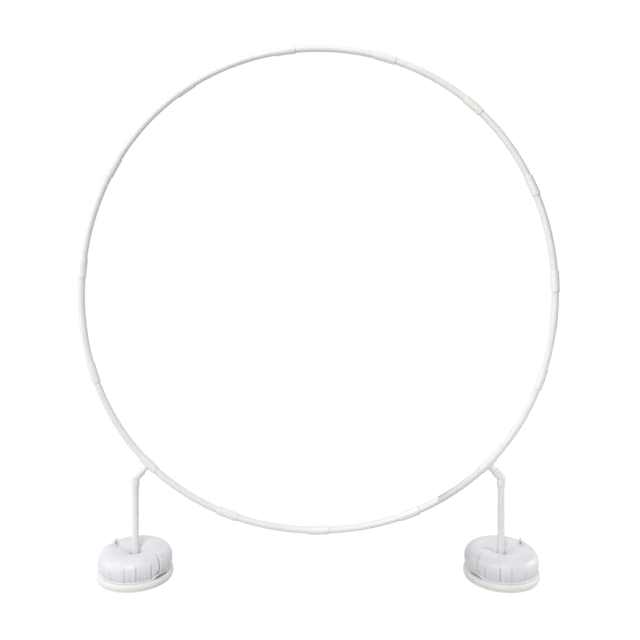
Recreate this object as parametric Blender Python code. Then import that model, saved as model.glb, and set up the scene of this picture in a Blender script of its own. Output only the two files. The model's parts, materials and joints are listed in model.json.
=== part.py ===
"""Round balloon-arch stand: a hoop of fifteen PVC tubes held up by two feet with water bags.

Units are metres and +Z is up.  The hoop stands in the XZ plane, the origin is on the floor midway
between the feet, and -Y is the front.  Angles round the hoop start straight down and grow
towards +X.
"""

from math import copysign, cos, pi, radians, remainder, sin, tan

import bmesh
import bpy
from mathutils import Matrix, Vector

# ---- hoop line ----------------------------------------------------------------------------------
hoop_radius = 0.884           # mean radius of the tubes' centreline
hoop_centre_height = 1.048    # the hoop's centre above the floor
hoop_stretch = 0.0071         # how far it stands taller than round, and in at the sides
hoop_pear = 0.0038            # how far its top is rounder than its bottom
hoop_shoulder = 0.0048        # how far it stands proud above and below its sides

# ---- hoop tubes and their sleeves ---------------------------------------------------------------
tube_diameter = 0.025
tube_wall = 0.0022
push_fit_gap = 0.0003         # radial clearance of a tube in its sleeve
end_gap = 0.0003              # clearance between a tube's end and the stop it meets
sleeve_wall = 0.0026
sleeve_edge = 0.0008          # chamfer on every sleeve's mouth
stop_width = 0.003            # rib inside a sleeve that the tube ends meet
coupling_length = 0.076
tee_length = 0.068

foot_angle = radians(44.3)    # where each tee sits on the hoop, from straight down
lower_tubes = 4               # tubes between the two tees, below
right_tubes = 6               # tubes from the right tee up and over the top
left_tubes = 5                # the rest, down to the left tee
right_tube_angle = radians(23.93)

# ---- feet: tee branch, elbow and post -----------------------------------------------------------
branch_diameter = 0.0245
branch_wall = 0.0024
branch_bare_length = 0.021    # branch that shows between the tee and the elbow
elbow_upper_arm = 0.035       # upper mouth to the elbow's corner
elbow_lower_arm = 0.031       # corner to the lower mouth
elbow_throat = 0.0018         # radius left on the inside of the bend
elbow_bore_diameter = 0.020   # the way through the bend, between the two sockets
post_diameter = 0.024
post_wall = 0.002

# ---- base ---------------------------------------------------------------------------------------
base_diameter = 0.274
base_height = 0.027
base_wall = 0.003
base_edge = 0.010             # how far the rounded upper edge comes in and down
base_step = 0.0035            # how far the foot ring stands in from the side
base_step_height = 0.0065
foot_ring_width = 0.004
boss_wall = 0.003
boss_rise = 0.033             # top of the socket boss above the disc
socket_floor = 0.004
rib_count = 8
rib_thickness = 0.0024
rib_clearance = 0.003         # the ribs stop this far above the floor
rib_bite = 0.0015             # how far a rib runs into what it joins

# ---- water bag and its valve --------------------------------------------------------------------
bag_diameter = 0.270
bag_height = 0.0777
bag_hole_clearance = 0.0037   # round the socket boss
bag_flat = 0.0073             # part of the round section that is pressed flat on the base
rest_gap = 0.0003             # between pieces that rest on each other
bag_side_fullness = 0.66      # under 1 makes the side wall stand straighter
bag_crown_fullness = 0.92
bag_lip_fullness = 0.45       # where the top turns down into the hole
bag_dish = 0.019              # how far the top falls towards the post
bag_dish_radius = 0.070       # where that fall starts
bag_dish_steepening = 1.5
bag_pleats = 16
bag_pleat_depth = 0.0022
bag_seam_depth = 0.0035       # at the pleat where the bag's skin is welded end to end
bag_seam_pleat = 2            # pleats from the front round to that one, on the hoop's side

valve_radius_from_post = 0.078
valve_azimuth = radians(13)   # from the outer side towards the back
valve_flange_diameter = 0.026
valve_flange_thickness = 0.0016
valve_sink = 0.0036           # how far the flange's seat is let into the crown
valve_bore_diameter = 0.0076
valve_neck_wall = 0.0016
valve_neck_depth = 0.012      # into the bag
valve_neck_height = 0.0160    # above the flange
valve_neck_flare = 0.0036     # how much wider the neck stands at its foot
valve_bore_floor = 0.0014
valve_lead = 0.0009           # how far the neck narrows to its mouth
plug_cap_overhang = 0.0004    # past the neck
plug_cap_height = 0.0078      # a cone that the fingers pull it by
plug_cap_rim = 0.0016         # the upright part of the cap, below the cone
plug_cap_narrowing = 0.0030   # how far the cone narrows to its tip
plug_clearance = 0.0003       # round the top of the plug's stem
plug_taper = 0.0008           # how far the stem narrows to its tip
plug_stem_length = 0.0045
plug_hinge_reach = 0.0110     # valve axis to the strap's hinge
plug_hinge_diameter = 0.0018
plug_strap_width = 0.0042
plug_strap_thickness = 0.0012
plug_barrel_overhang = 0.0002  # past each side of the strap
ear_width = 0.0048
ear_thickness = 0.0020
ear_bite = 0.0004             # how far it runs into the flange

# ---- fineness -----------------------------------------------------------------------------------
hoop_sides = 12
tube_spans = 5                # straight spans of a tube between its sleeves
turning_sides = 20
bend_steps = 4
edge_steps = 3                # across the base's rounded edge
base_sides = 32
bag_steps_round = 48
bag_steps_across = 24         # a multiple of four, so that one step lies on the crown
valve_sides = 14
barrel_sides = 8
sharp_edge = radians(35)
cutter_overrun = 0.002        # how far a cutter runs past the face it opens

# ---- sizes that follow --------------------------------------------------------------------------
tube_radius = tube_diameter / 2
tube_bore_radius = tube_radius - tube_wall
sleeve_bore_radius = tube_radius + push_fit_gap
sleeve_radius = sleeve_bore_radius + sleeve_wall
branch_radius = branch_diameter / 2
post_radius = post_diameter / 2
upper_mouth_bore = branch_radius + push_fit_gap
lower_mouth_bore = post_radius + push_fit_gap
elbow_upper_radius = upper_mouth_bore + sleeve_wall
elbow_lower_radius = lower_mouth_bore + sleeve_wall
elbow_bend_radius = max(elbow_upper_radius, elbow_lower_radius) + elbow_throat
elbow_corner_reach = sleeve_radius + branch_bare_length + elbow_upper_arm
boss_bore_radius = post_radius + push_fit_gap
boss_radius = boss_bore_radius + boss_wall
boss_top = base_height + boss_rise
bag_bottom = base_height + rest_gap
bag_crown = bag_bottom + bag_height
bag_hole_radius = boss_radius + bag_hole_clearance
valve_seat = bag_crown - valve_sink
valve_flange_radius = valve_flange_diameter / 2
valve_neck_radius = valve_bore_diameter / 2 + valve_neck_wall
valve_bottom = valve_seat + rest_gap - valve_neck_depth
valve_flange_top = valve_seat + rest_gap + valve_flange_thickness
valve_mouth = valve_flange_top + valve_neck_height
across_x = Vector((1.0, 0.0, 0.0))
across_y = Vector((0.0, 1.0, 0.0))
straight_down = Vector((0.0, 0.0, -1.0))


# ---- scene and materials ------------------------------------------------------------------------
def clear_scene():
    """Remove every object that the start-up file holds."""
    for old_object in list(bpy.data.objects):
        bpy.data.objects.remove(old_object, do_unlink=True)


def linear(hex_colour):
    """Turn an sRGB hex colour into the linear values that a shader takes."""
    channels = [int(hex_colour[start:start + 2], 16) / 255 for start in (0, 2, 4)]
    low = [value / 12.92 for value in channels]
    high = [((value + 0.055) / 1.055) ** 2.4 for value in channels]
    return tuple(a if value <= 0.04045 else b for value, a, b in zip(channels, low, high)) + (1.0,)


def plastic(name, hex_colour, roughness, transmission=0.0):
    """Make a plain plastic."""
    material = bpy.data.materials.new(name)
    material.use_nodes = True
    shader = material.node_tree.nodes["Principled BSDF"]
    shader.inputs["Base Color"].default_value = linear(hex_colour)
    shader.inputs["Roughness"].default_value = roughness
    shader.inputs["Metallic"].default_value = 0.0
    shader.inputs["Transmission Weight"].default_value = transmission
    material.diffuse_color = linear(hex_colour)
    return material


def add_empty(name, place, parent=None):
    """Add an empty at a world place, which its pieces are modelled round."""
    empty = bpy.data.objects.new(name, None)
    bpy.context.scene.collection.objects.link(empty)
    empty.empty_display_size = 0.05
    empty.location = place - (parent.matrix_world.translation if parent else Vector())
    empty.parent = parent
    bpy.context.view_layer.update()
    return empty


def add_piece(name, mesh, material=None, parent=None, place=None):
    """Put a mesh into the scene at its place under its parent."""
    piece = bpy.data.objects.new(name, mesh)
    bpy.context.scene.collection.objects.link(piece)
    piece.parent = parent
    piece.location = place or Vector()
    if material:
        mesh.materials.append(material)
    return piece


def add_cutter(name, mesh, target, operation="DIFFERENCE", heading=0.0, place=None):
    """Cut a shape out of a piece, or join it on, with a hidden tool that follows the piece."""
    tool = add_piece(name, mesh, parent=target, place=place)
    tool.rotation_euler.z = heading
    tool.hide_render = True
    tool.display_type = "WIRE"
    boolean = target.modifiers.new(name, "BOOLEAN")
    boolean.operation = operation
    boolean.solver = "EXACT"
    boolean.object = tool


# ---- shapes -------------------------------------------------------------------------------------
def mesh_from_rings(name, rings, closed=True):
    """Bridge a row of rings, and join its two ends or cap them with flat faces."""
    shape = bmesh.new()
    loops = [[shape.verts.new(point) for point in ring] for ring in rings]
    pairs = list(zip(loops, loops[1:] + loops[:1])) if closed else list(zip(loops, loops[1:]))
    for first, second in pairs:
        for index in range(len(first)):
            after = (index + 1) % len(first)
            shape.faces.new((first[index], first[after], second[after], second[index]))
    if not closed:
        shape.faces.new(loops[0])
        shape.faces.new(loops[-1])
    bmesh.ops.recalc_face_normals(shape, faces=shape.faces)
    mesh = bpy.data.meshes.new(name)
    shape.to_mesh(mesh)
    shape.free()
    mesh.shade_smooth()
    mesh.set_sharp_from_angle(angle=sharp_edge)
    return mesh


def turned(name, frame_at, profile, sides, closed=True, origin=None):
    """Turn a profile of (place along the line, radius) round a line in the XZ plane."""
    shift = origin or Vector()
    rings = []
    for place, radius in profile:
        point, across = frame_at(place)
        turns = [2 * pi * index / sides for index in range(sides)]
        rings.append([point - shift + radius * (cos(turn) * across + sin(turn) * across_y)
                      for turn in turns])
    return mesh_from_rings(name, rings, closed)


def upright(height):
    """The line that runs straight up from the origin."""
    return Vector((0.0, 0.0, height)), across_x


def block(name, low, high):
    """A plain block between two corners, for ribs, straps and ears."""
    shape = bmesh.new()
    bmesh.ops.create_cube(shape, size=1.0)
    size = Vector(high) - Vector(low)
    middle = (Vector(high) + Vector(low)) / 2
    matrix = Matrix.Translation(middle) @ Matrix.Diagonal(size).to_4x4()
    bmesh.ops.transform(shape, matrix=matrix, verts=shape.verts)
    mesh = bpy.data.meshes.new(name)
    shape.to_mesh(mesh)
    shape.free()
    return mesh


# ---- hoop ---------------------------------------------------------------------------------------
def hoop_reach(angle):
    """Hoop centre to centreline: a circle, eased out of round by the two feet that hold it."""
    return (hoop_radius + hoop_stretch * cos(2 * angle)
            - hoop_pear * cos(3 * angle) - hoop_shoulder * cos(4 * angle))


def hoop_point(angle):
    """A point on the hoop's centreline."""
    reach = hoop_reach(angle)
    return Vector((reach * sin(angle), 0.0, hoop_centre_height - reach * cos(angle)))


def hoop_outward(angle):
    """The direction out of the hoop, square to its centreline."""
    step = 0.001
    along = (hoop_point(angle + step) - hoop_point(angle - step)).normalized()
    return Vector((along.z, 0.0, -along.x))


def hoop_frame(angle):
    """The hoop's line for a turned shape."""
    return hoop_point(angle), hoop_outward(angle)


def angle_of(length, angle):
    """The angle that a length takes up on the hoop."""
    return length / hoop_reach(angle)


def hoop_joint_angles():
    """Where the tubes meet: the right tee, up and over to the left tee, and along the bottom."""
    left_tube_angle = (2 * pi - 2 * foot_angle - right_tubes * right_tube_angle) / left_tubes
    lower_tube_angle = 2 * foot_angle / lower_tubes
    steps = [right_tube_angle] * right_tubes
    steps += [left_tube_angle] * left_tubes
    steps += [lower_tube_angle] * lower_tubes
    return [foot_angle + sum(steps[:index]) for index in range(len(steps))]


def make_hoop_tube(name, start_joint, end_joint, start_sleeve, end_sleeve, material, parent):
    """One bent tube, from the stop in one sleeve to the stop in the next."""
    inset = stop_width / 2 + end_gap
    start = start_joint + angle_of(inset, start_joint)
    end = end_joint - angle_of(inset, end_joint)
    first_mouth = start_joint + angle_of(start_sleeve / 2, start_joint)
    last_mouth = end_joint - angle_of(end_sleeve / 2, end_joint)
    span = (last_mouth - first_mouth) / tube_spans
    places = [start] + [first_mouth + span * index for index in range(tube_spans + 1)] + [end]
    profile = [(place, tube_radius) for place in places]
    profile += [(place, tube_bore_radius) for place in reversed(places)]
    middle = hoop_point((start + end) / 2)
    mesh = turned(name, hoop_frame, profile, hoop_sides, origin=middle)
    return add_piece(name, mesh, material, parent, middle - parent.matrix_world.translation)


def sleeve_profile(joint, length):
    """A sleeve's outer and inner sections: chamfered mouths, two sockets and the rib between."""
    half = angle_of(length / 2, joint)
    edge = angle_of(sleeve_edge, joint)
    stop = angle_of(stop_width / 2, joint)
    outer = [(-half, sleeve_radius - sleeve_edge), (edge - half, sleeve_radius), (0.0, sleeve_radius),
             (half - edge, sleeve_radius), (half, sleeve_radius - sleeve_edge)]
    inner = [(half, sleeve_bore_radius), (stop, sleeve_bore_radius), (stop, tube_bore_radius),
             (-stop, tube_bore_radius), (-stop, sleeve_bore_radius), (-half, sleeve_bore_radius)]
    return ([(joint + place, radius) for place, radius in outer],
            [(joint + place, radius) for place, radius in inner])


def make_coupling(name, joint, material, parent):
    """A straight sleeve that joins two hoop tubes."""
    outer, inner = sleeve_profile(joint, coupling_length)
    middle = hoop_point(joint)
    mesh = turned(name, hoop_frame, outer + inner, hoop_sides, origin=middle)
    return add_piece(name, mesh, material, parent, middle - parent.matrix_world.translation)


def make_tee(name, joint, material, parent):
    """A sleeve with a hollow branch that points out of the hoop."""
    outer, inner = sleeve_profile(joint, tee_length)
    middle = hoop_point(joint)
    outward = hoop_outward(joint)
    along = Vector((-outward.z, 0.0, outward.x))
    mesh = turned(name, hoop_frame, outer, hoop_sides, closed=False, origin=middle)
    tee = add_piece(name, mesh, material, parent, middle - parent.matrix_world.translation)

    def branch_line(distance):
        return outward * distance, along

    tip = branch_tip_reach()
    past_tip = tip + cutter_overrun
    past_mouth = angle_of(cutter_overrun, joint)
    branch_bore_radius = branch_radius - branch_wall
    branch = [(0.0, branch_radius), (tip - sleeve_edge, branch_radius),
              (tip, branch_radius - sleeve_edge)]
    branch_bore = [(0.0, branch_bore_radius), (past_tip, branch_bore_radius)]
    run_bore = [(inner[0][0] + past_mouth, sleeve_bore_radius)] + inner[1:-1]
    run_bore += [(inner[-1][0] - past_mouth, sleeve_bore_radius)]
    tools = (("_branch", branch_line, branch, turning_sides, None, "UNION"),
             ("_run_bore", hoop_frame, run_bore, hoop_sides, middle, "DIFFERENCE"),
             ("_branch_bore", branch_line, branch_bore, turning_sides, None, "DIFFERENCE"))
    for suffix, line, profile, sides, start, operation in tools:
        mesh = turned(name + suffix, line, profile, sides, closed=False, origin=start)
        add_cutter(name + suffix, mesh, tee, operation)
    return tee


# ---- feet ---------------------------------------------------------------------------------------
def elbow_tangent():
    """How far each arm of the elbow gives way to its bend."""
    bend = hoop_outward(foot_angle).angle(straight_down)
    return elbow_bend_radius * tan(bend / 2)


def branch_tip_reach():
    """How far the tee's branch reaches from the hoop's centreline, into the elbow's socket."""
    return elbow_corner_reach - elbow_tangent() - end_gap


def post_top_height():
    """The post's top end, under the stop in the elbow's lower socket."""
    return elbow_corner(foot_angle).z - elbow_tangent() - end_gap


def elbow_corner(joint):
    """Where the branch's line meets the post's line."""
    return hoop_point(joint) + hoop_outward(joint) * elbow_corner_reach


def make_elbow(name, joint, material, parent):
    """The bend from the branch to the post, with a socket at each end."""
    towards_hoop = -hoop_outward(joint)
    tangent = elbow_tangent()
    inside = (towards_hoop + straight_down).normalized()
    upper_side = -(inside - inside.dot(towards_hoop) * towards_hoop).normalized()
    lower_side = -(inside - inside.dot(straight_down) * straight_down).normalized()
    centre = towards_hoop * tangent - upper_side * elbow_bend_radius

    def bend_line(place):
        if place <= -tangent:
            return towards_hoop * -place, upper_side
        if place >= tangent:
            return straight_down * place, lower_side
        side = upper_side.slerp(lower_side, (place + tangent) / (2 * tangent))
        return centre + side * elbow_bend_radius, side

    bend = [tangent * (2 * index / bend_steps - 1) for index in range(bend_steps + 1)]
    profile = [(-elbow_upper_arm, elbow_upper_radius - sleeve_edge),
               (sleeve_edge - elbow_upper_arm, elbow_upper_radius)]
    profile += [(place, elbow_upper_radius if place < 0 else elbow_lower_radius) for place in bend]
    profile += [(elbow_lower_arm - sleeve_edge, elbow_lower_radius),
                (elbow_lower_arm, elbow_lower_radius - sleeve_edge),
                (elbow_lower_arm, lower_mouth_bore), (tangent, lower_mouth_bore)]
    profile += [(place, elbow_bore_diameter / 2) for place in reversed(bend)]
    profile += [(-tangent, upper_mouth_bore), (-elbow_upper_arm, upper_mouth_bore)]
    mesh = turned(name, bend_line, profile, turning_sides)
    return add_piece(name, mesh, material, parent)


def make_post(name, material, parent):
    """The upright tube, from the socket in the base to the socket in the elbow."""
    corner_height = parent.matrix_world.translation.z
    top = post_top_height() - corner_height
    foot = socket_floor + end_gap - corner_height
    profile = [(foot, post_radius), (top, post_radius),
               (top, post_radius - post_wall), (foot, post_radius - post_wall)]
    return add_piece(name, turned(name, upright, profile, turning_sides), material, parent)


def make_base(name, material, parent):
    """A moulded disc, open underneath, with a foot ring, ribs and a boss that holds the post."""
    side = base_diameter / 2
    ring = side - base_step
    inner_ring = ring - foot_ring_width
    under = base_height - base_wall
    flat = side - base_edge
    profile = [(socket_floor, boss_bore_radius), (boss_top, boss_bore_radius),
               (boss_top, boss_radius - sleeve_edge), (boss_top - sleeve_edge, boss_radius),
               (base_height, boss_radius), (base_height, flat)]
    for step in range(1, edge_steps + 1):
        turn = pi / 2 * step / edge_steps
        profile.append((base_height - base_edge * (1 - cos(turn)), flat + base_edge * sin(turn)))
    profile += [(base_step_height + base_step, side), (base_step_height, ring), (0.0, ring),
                (0.0, inner_ring), (under, inner_ring), (under, boss_radius), (0.0, boss_radius)]
    mesh = turned(name, upright, profile, base_sides, closed=False)
    base = add_piece(name, mesh, material, parent)
    low = (boss_radius - rib_bite, -rib_thickness / 2, rib_clearance)
    high = (inner_ring + rib_bite, rib_thickness / 2, under + rib_bite)
    for index in range(rib_count):
        rib_name = name + "_rib_" + str(index + 1)
        heading = 2 * pi * (index + 0.5) / rib_count
        add_cutter(rib_name, block(rib_name, low, high), base, "UNION", heading)
    return base


# ---- water bag and valve ------------------------------------------------------------------------
def bag_section(turn):
    """Radius and height of the bag's skin, before pleats, at a turn round its section."""
    middle = (bag_diameter / 2 + bag_hole_radius) / 2
    half_width = (bag_diameter / 2 - bag_hole_radius) / 2
    on_lip = cos(turn) < 0 < sin(turn)
    side_fullness = bag_lip_fullness if on_lip else bag_side_fullness
    crown_fullness = bag_lip_fullness if on_lip else bag_crown_fullness
    sideways = copysign(abs(cos(turn)) ** side_fullness, cos(turn))
    upwards = copysign(abs(sin(turn)) ** crown_fullness, sin(turn))
    radius = middle + half_width * sideways
    half_height = (bag_height + bag_flat) / 2
    height = bag_crown - half_height + half_height * upwards
    inwards = max(0.0, bag_dish_radius - radius) / (bag_dish_radius - bag_hole_radius)
    height -= bag_dish * inwards ** bag_dish_steepening * max(0.0, upwards)
    return radius, max(height, bag_bottom)


def bag_fold(azimuth, turn, side):
    """How far the pleats and the welded seam draw the skin in, on the side wall and below."""
    outside = max(0.0, cos(turn)) ** 2
    below = (1 - sin(turn)) / 2
    pleat = ((1 + cos(bag_pleats * azimuth)) / 2) ** 3
    seam = -pi / 2 - side * 2 * pi * bag_seam_pleat / bag_pleats
    away = abs(remainder(azimuth - seam, 2 * pi)) * bag_pleats / pi
    return outside * (below * pleat * bag_pleat_depth + max(0.0, 1 - away) * bag_seam_depth)


def make_bag(name, side, material, parent):
    """A filled ring, flat underneath, with its hole round the boss and a seat for the valve."""
    rings = []
    for step in range(bag_steps_round):
        azimuth = 2 * pi * step / bag_steps_round
        ring = []
        for index in range(bag_steps_across):
            turn = 2 * pi * index / bag_steps_across
            radius, height = bag_section(turn)
            radius -= bag_fold(azimuth, turn, side)
            ring.append(Vector((radius * cos(azimuth), radius * sin(azimuth), height)))
        rings.append(ring)
    bag = add_piece(name, mesh_from_rings(name, rings), material, parent)
    neck_hole = valve_neck_radius + rest_gap
    flange_hole = valve_flange_radius + rest_gap
    pocket = [(valve_bottom - rest_gap, neck_hole), (valve_seat, neck_hole),
              (valve_seat, flange_hole), (bag_crown + cutter_overrun, flange_hole)]
    mesh = turned(name + "_pocket", upright, pocket, valve_sides, closed=False)
    add_cutter(name + "_pocket", mesh, bag, place=valve_place(side))
    return bag


def valve_place(side):
    """Where the valve stands from the post: behind it, on the outer side."""
    return Vector((side * valve_radius_from_post * cos(valve_azimuth),
                   valve_radius_from_post * sin(valve_azimuth), 0.0))


def strap_heading(side):
    """The plug's strap runs from the valve towards the bag's outer side."""
    return 0.0 if side > 0 else pi


def make_valve(name, side, material, parent):
    """The filling valve: a flange, a blind neck let into the bag, and an ear for the strap."""
    bore = valve_bore_diameter / 2
    profile = [(valve_bottom + valve_bore_floor, bore), (valve_mouth, bore),
               (valve_mouth, valve_neck_radius - valve_lead),
               (valve_flange_top, valve_neck_radius + valve_neck_flare),
               (valve_flange_top, valve_flange_radius),
               (valve_seat + rest_gap, valve_flange_radius),
               (valve_seat + rest_gap, valve_neck_radius), (valve_bottom, valve_neck_radius)]
    mesh = turned(name, upright, profile, valve_sides, closed=False)
    valve = add_piece(name, mesh, material, parent, valve_place(side))
    near = plug_hinge_reach - ear_thickness / 2
    ear_foot = valve_flange_top - ear_bite
    ear_top = valve_mouth - plug_strap_thickness - 2 * rest_gap
    ear = block(name + "_ear", (near, -ear_width / 2, ear_foot),
                (near + ear_thickness, ear_width / 2, ear_top))
    add_cutter(name + "_ear", ear, valve, "UNION", strap_heading(side))
    return valve


def plug_hinge_place(side):
    """The middle of the strap's hinge, level with the valve's mouth."""
    reach = Vector((side * plug_hinge_reach, 0.0, valve_mouth))
    return post_place(side) + valve_place(side) + reach


def make_plug(name, side, material, parent):
    """The stopper on its strap, modelled round the hinge at the strap's far end."""
    stem_top = valve_bore_diameter / 2 - plug_clearance
    cap_radius = valve_neck_radius + plug_cap_overhang
    cap_foot = rest_gap
    profile = [(cap_foot - plug_stem_length, stem_top - plug_taper), (cap_foot, stem_top),
               (cap_foot, cap_radius), (cap_foot + plug_cap_rim, cap_radius),
               (cap_foot + plug_cap_height, cap_radius - plug_cap_narrowing)]

    def stopper_line(height):
        return Vector((-side * plug_hinge_reach, 0.0, height)), across_x

    mesh = turned(name, stopper_line, profile, valve_sides, closed=False)
    plug = add_piece(name, mesh, material, parent)
    strap_start = stem_top - plug_hinge_reach
    strap = block(name + "_strap", (strap_start, -plug_strap_width / 2, cap_foot),
                  (0.0, plug_strap_width / 2, cap_foot + plug_strap_thickness))
    add_cutter(name + "_strap", strap, plug, "UNION", strap_heading(side))
    add_cutter(name + "_barrel", barrel_mesh(name + "_barrel"), plug, "UNION")
    return plug


def barrel_mesh(name):
    """The round end of the strap, on the hinge's axis."""
    radius = plug_hinge_diameter / 2
    half_length = plug_strap_width / 2 + plug_barrel_overhang
    turns = [2 * pi * (index + 0.5) / barrel_sides for index in range(barrel_sides)]
    rings = [[Vector((radius * cos(turn), place, radius * sin(turn))) for turn in turns]
             for place in (-half_length, half_length)]
    return mesh_from_rings(name, rings, closed=False)


def post_place(side):
    """The foot of the post's axis, on the floor."""
    return Vector((side * elbow_corner(foot_angle).x, 0.0, 0.0))


# ---- the whole stand ----------------------------------------------------------------------------
def build_hoop(tube_pvc, fitting_pvc):
    """Fifteen tubes, thirteen couplings and two tees, numbered from the right tee upwards."""
    centre = add_empty("hoop_centre", Vector((0.0, 0.0, hoop_centre_height)))
    joints = hoop_joint_angles()
    tees = {0: "tee_right", right_tubes + left_tubes: "tee_left"}
    lengths = [tee_length if index in tees else coupling_length for index in range(len(joints))]
    couplings_made = 0
    for index, joint in enumerate(joints):
        after = (index + 1) % len(joints)
        next_joint = joints[after] + (2 * pi if after == 0 else 0.0)
        tube_name = "hoop_tube_" + str(index + 1).zfill(2)
        make_hoop_tube(tube_name, joint, next_joint, lengths[index], lengths[after], tube_pvc,
                       centre)
        if index in tees:
            make_tee(tees[index], joint, fitting_pvc, centre)
        else:
            couplings_made += 1
            make_coupling("coupling_" + str(couplings_made).zfill(2), joint, fitting_pvc, centre)


def build_foot(word, side, materials):
    """An elbow and post, the base they stand in, and the water bag with its valve."""
    tube_pvc, fitting_pvc, ivory, film, clear = materials
    joint = foot_angle if side > 0 else 2 * pi - foot_angle
    swivel = add_empty("swivel_" + word, elbow_corner(joint))
    make_elbow("elbow_" + word, joint, fitting_pvc, swivel)
    make_post("post_" + word, tube_pvc, swivel)
    floor = add_empty("floor_" + word, post_place(side), swivel)
    make_base("base_" + word, ivory, floor)
    make_bag("water_bag_" + word, side, film, floor)
    make_valve("valve_" + word, side, clear, floor)
    hinge = add_empty("plug_hinge_" + word, plug_hinge_place(side), floor)
    make_plug("valve_plug_" + word, side, clear, hinge)


def build_stand():
    """Build the stand from its materials up."""
    clear_scene()
    tube_pvc = plastic("extruded_white_pvc", "EBE9E5", 0.42)
    fitting_pvc = plastic("moulded_white_pvc", "EFEDEA", 0.34)
    ivory = plastic("moulded_ivory_plastic", "E4E2DA", 0.48)
    film = plastic("soft_white_pvc_film", "E3E5E9", 0.35)
    clear = plastic("clear_blue_pvc", "C4CDE2", 0.2, 0.4)
    build_hoop(tube_pvc, fitting_pvc)
    for word, side in (("left", -1), ("right", 1)):
        build_foot(word, side, (tube_pvc, fitting_pvc, ivory, film, clear))


build_stand()
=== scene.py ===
"""Looks of a round balloon-arch stand: PVC hoop, two feet, moulded bases and water bags.

Laid out as an add-on: sizes and colours are properties, and each operator makes one group of
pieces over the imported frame.  Units are metres and +Z is up.  The hoop stands in the XZ plane,
-Y is the front, and angles round the hoop start straight down and grow towards +X.
"""

import json
from math import cos, pi, radians, sin, tan

import bmesh
import bpy
import numpy as np
from bpy.props import FloatProperty, IntProperty, PointerProperty, StringProperty
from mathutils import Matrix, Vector


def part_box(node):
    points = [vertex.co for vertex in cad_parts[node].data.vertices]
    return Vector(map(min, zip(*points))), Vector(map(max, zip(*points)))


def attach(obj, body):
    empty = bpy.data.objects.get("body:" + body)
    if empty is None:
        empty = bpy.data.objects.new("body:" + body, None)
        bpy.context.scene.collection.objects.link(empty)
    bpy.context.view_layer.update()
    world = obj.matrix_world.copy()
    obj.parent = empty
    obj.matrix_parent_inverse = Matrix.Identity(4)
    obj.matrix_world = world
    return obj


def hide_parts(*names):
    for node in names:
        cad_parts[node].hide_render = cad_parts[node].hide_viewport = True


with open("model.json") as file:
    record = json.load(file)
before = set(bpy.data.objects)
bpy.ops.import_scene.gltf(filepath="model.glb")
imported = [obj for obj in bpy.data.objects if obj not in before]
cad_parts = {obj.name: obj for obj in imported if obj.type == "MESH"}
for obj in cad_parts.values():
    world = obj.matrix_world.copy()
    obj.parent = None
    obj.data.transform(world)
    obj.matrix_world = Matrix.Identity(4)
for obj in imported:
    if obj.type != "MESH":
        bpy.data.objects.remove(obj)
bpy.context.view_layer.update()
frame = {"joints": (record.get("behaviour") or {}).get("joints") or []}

bl_info = {
    "name": "Round balloon-arch stand",
    "version": (1, 0, 0),
    "blender": (4, 5, 0),
    "location": "3D View > Sidebar > Arch stand",
    "description": "PVC hoop on two feet with water bags: shapes, finishes and stage",
    "category": "Object",
}

SIDES = (("left", -1), ("right", 1))
ACROSS_Y = np.array((0.0, 1.0, 0.0))
DOWN = np.array((0.0, 0.0, -1.0))
SHARP_EDGE = radians(38)  # faces that meet at more than this are shaded as an edge
IMAGE_WIDTH = 640         # pixels of the photograph
SENSOR_WIDTH = 36.0       # millimetres


def joint_place(name):
    """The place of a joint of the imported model."""
    for joint in frame["joints"]:
        if joint["name"] == name:
            return np.array(joint["pos_m"], float)
    raise RuntimeError("the frame has no joint named " + name)


def length(name, default, description):
    """A size in metres that a user may change."""
    return FloatProperty(name=name, default=default, description=description, unit="LENGTH",
                         subtype="DISTANCE", precision=5)


def angle(name, degrees, description):
    """An angle that a user may change."""
    return FloatProperty(name=name, default=radians(degrees), description=description,
                         subtype="ANGLE")


def level(name, default, description):
    """A plain number that a user may change."""
    return FloatProperty(name=name, default=default, description=description)


def number(name, default, description):
    """How many like parts there are."""
    return IntProperty(name=name, default=default, description=description)


def colour(name, default, description):
    """A colour as its sRGB hex."""
    return StringProperty(name=name, default=default, description=description)


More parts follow.
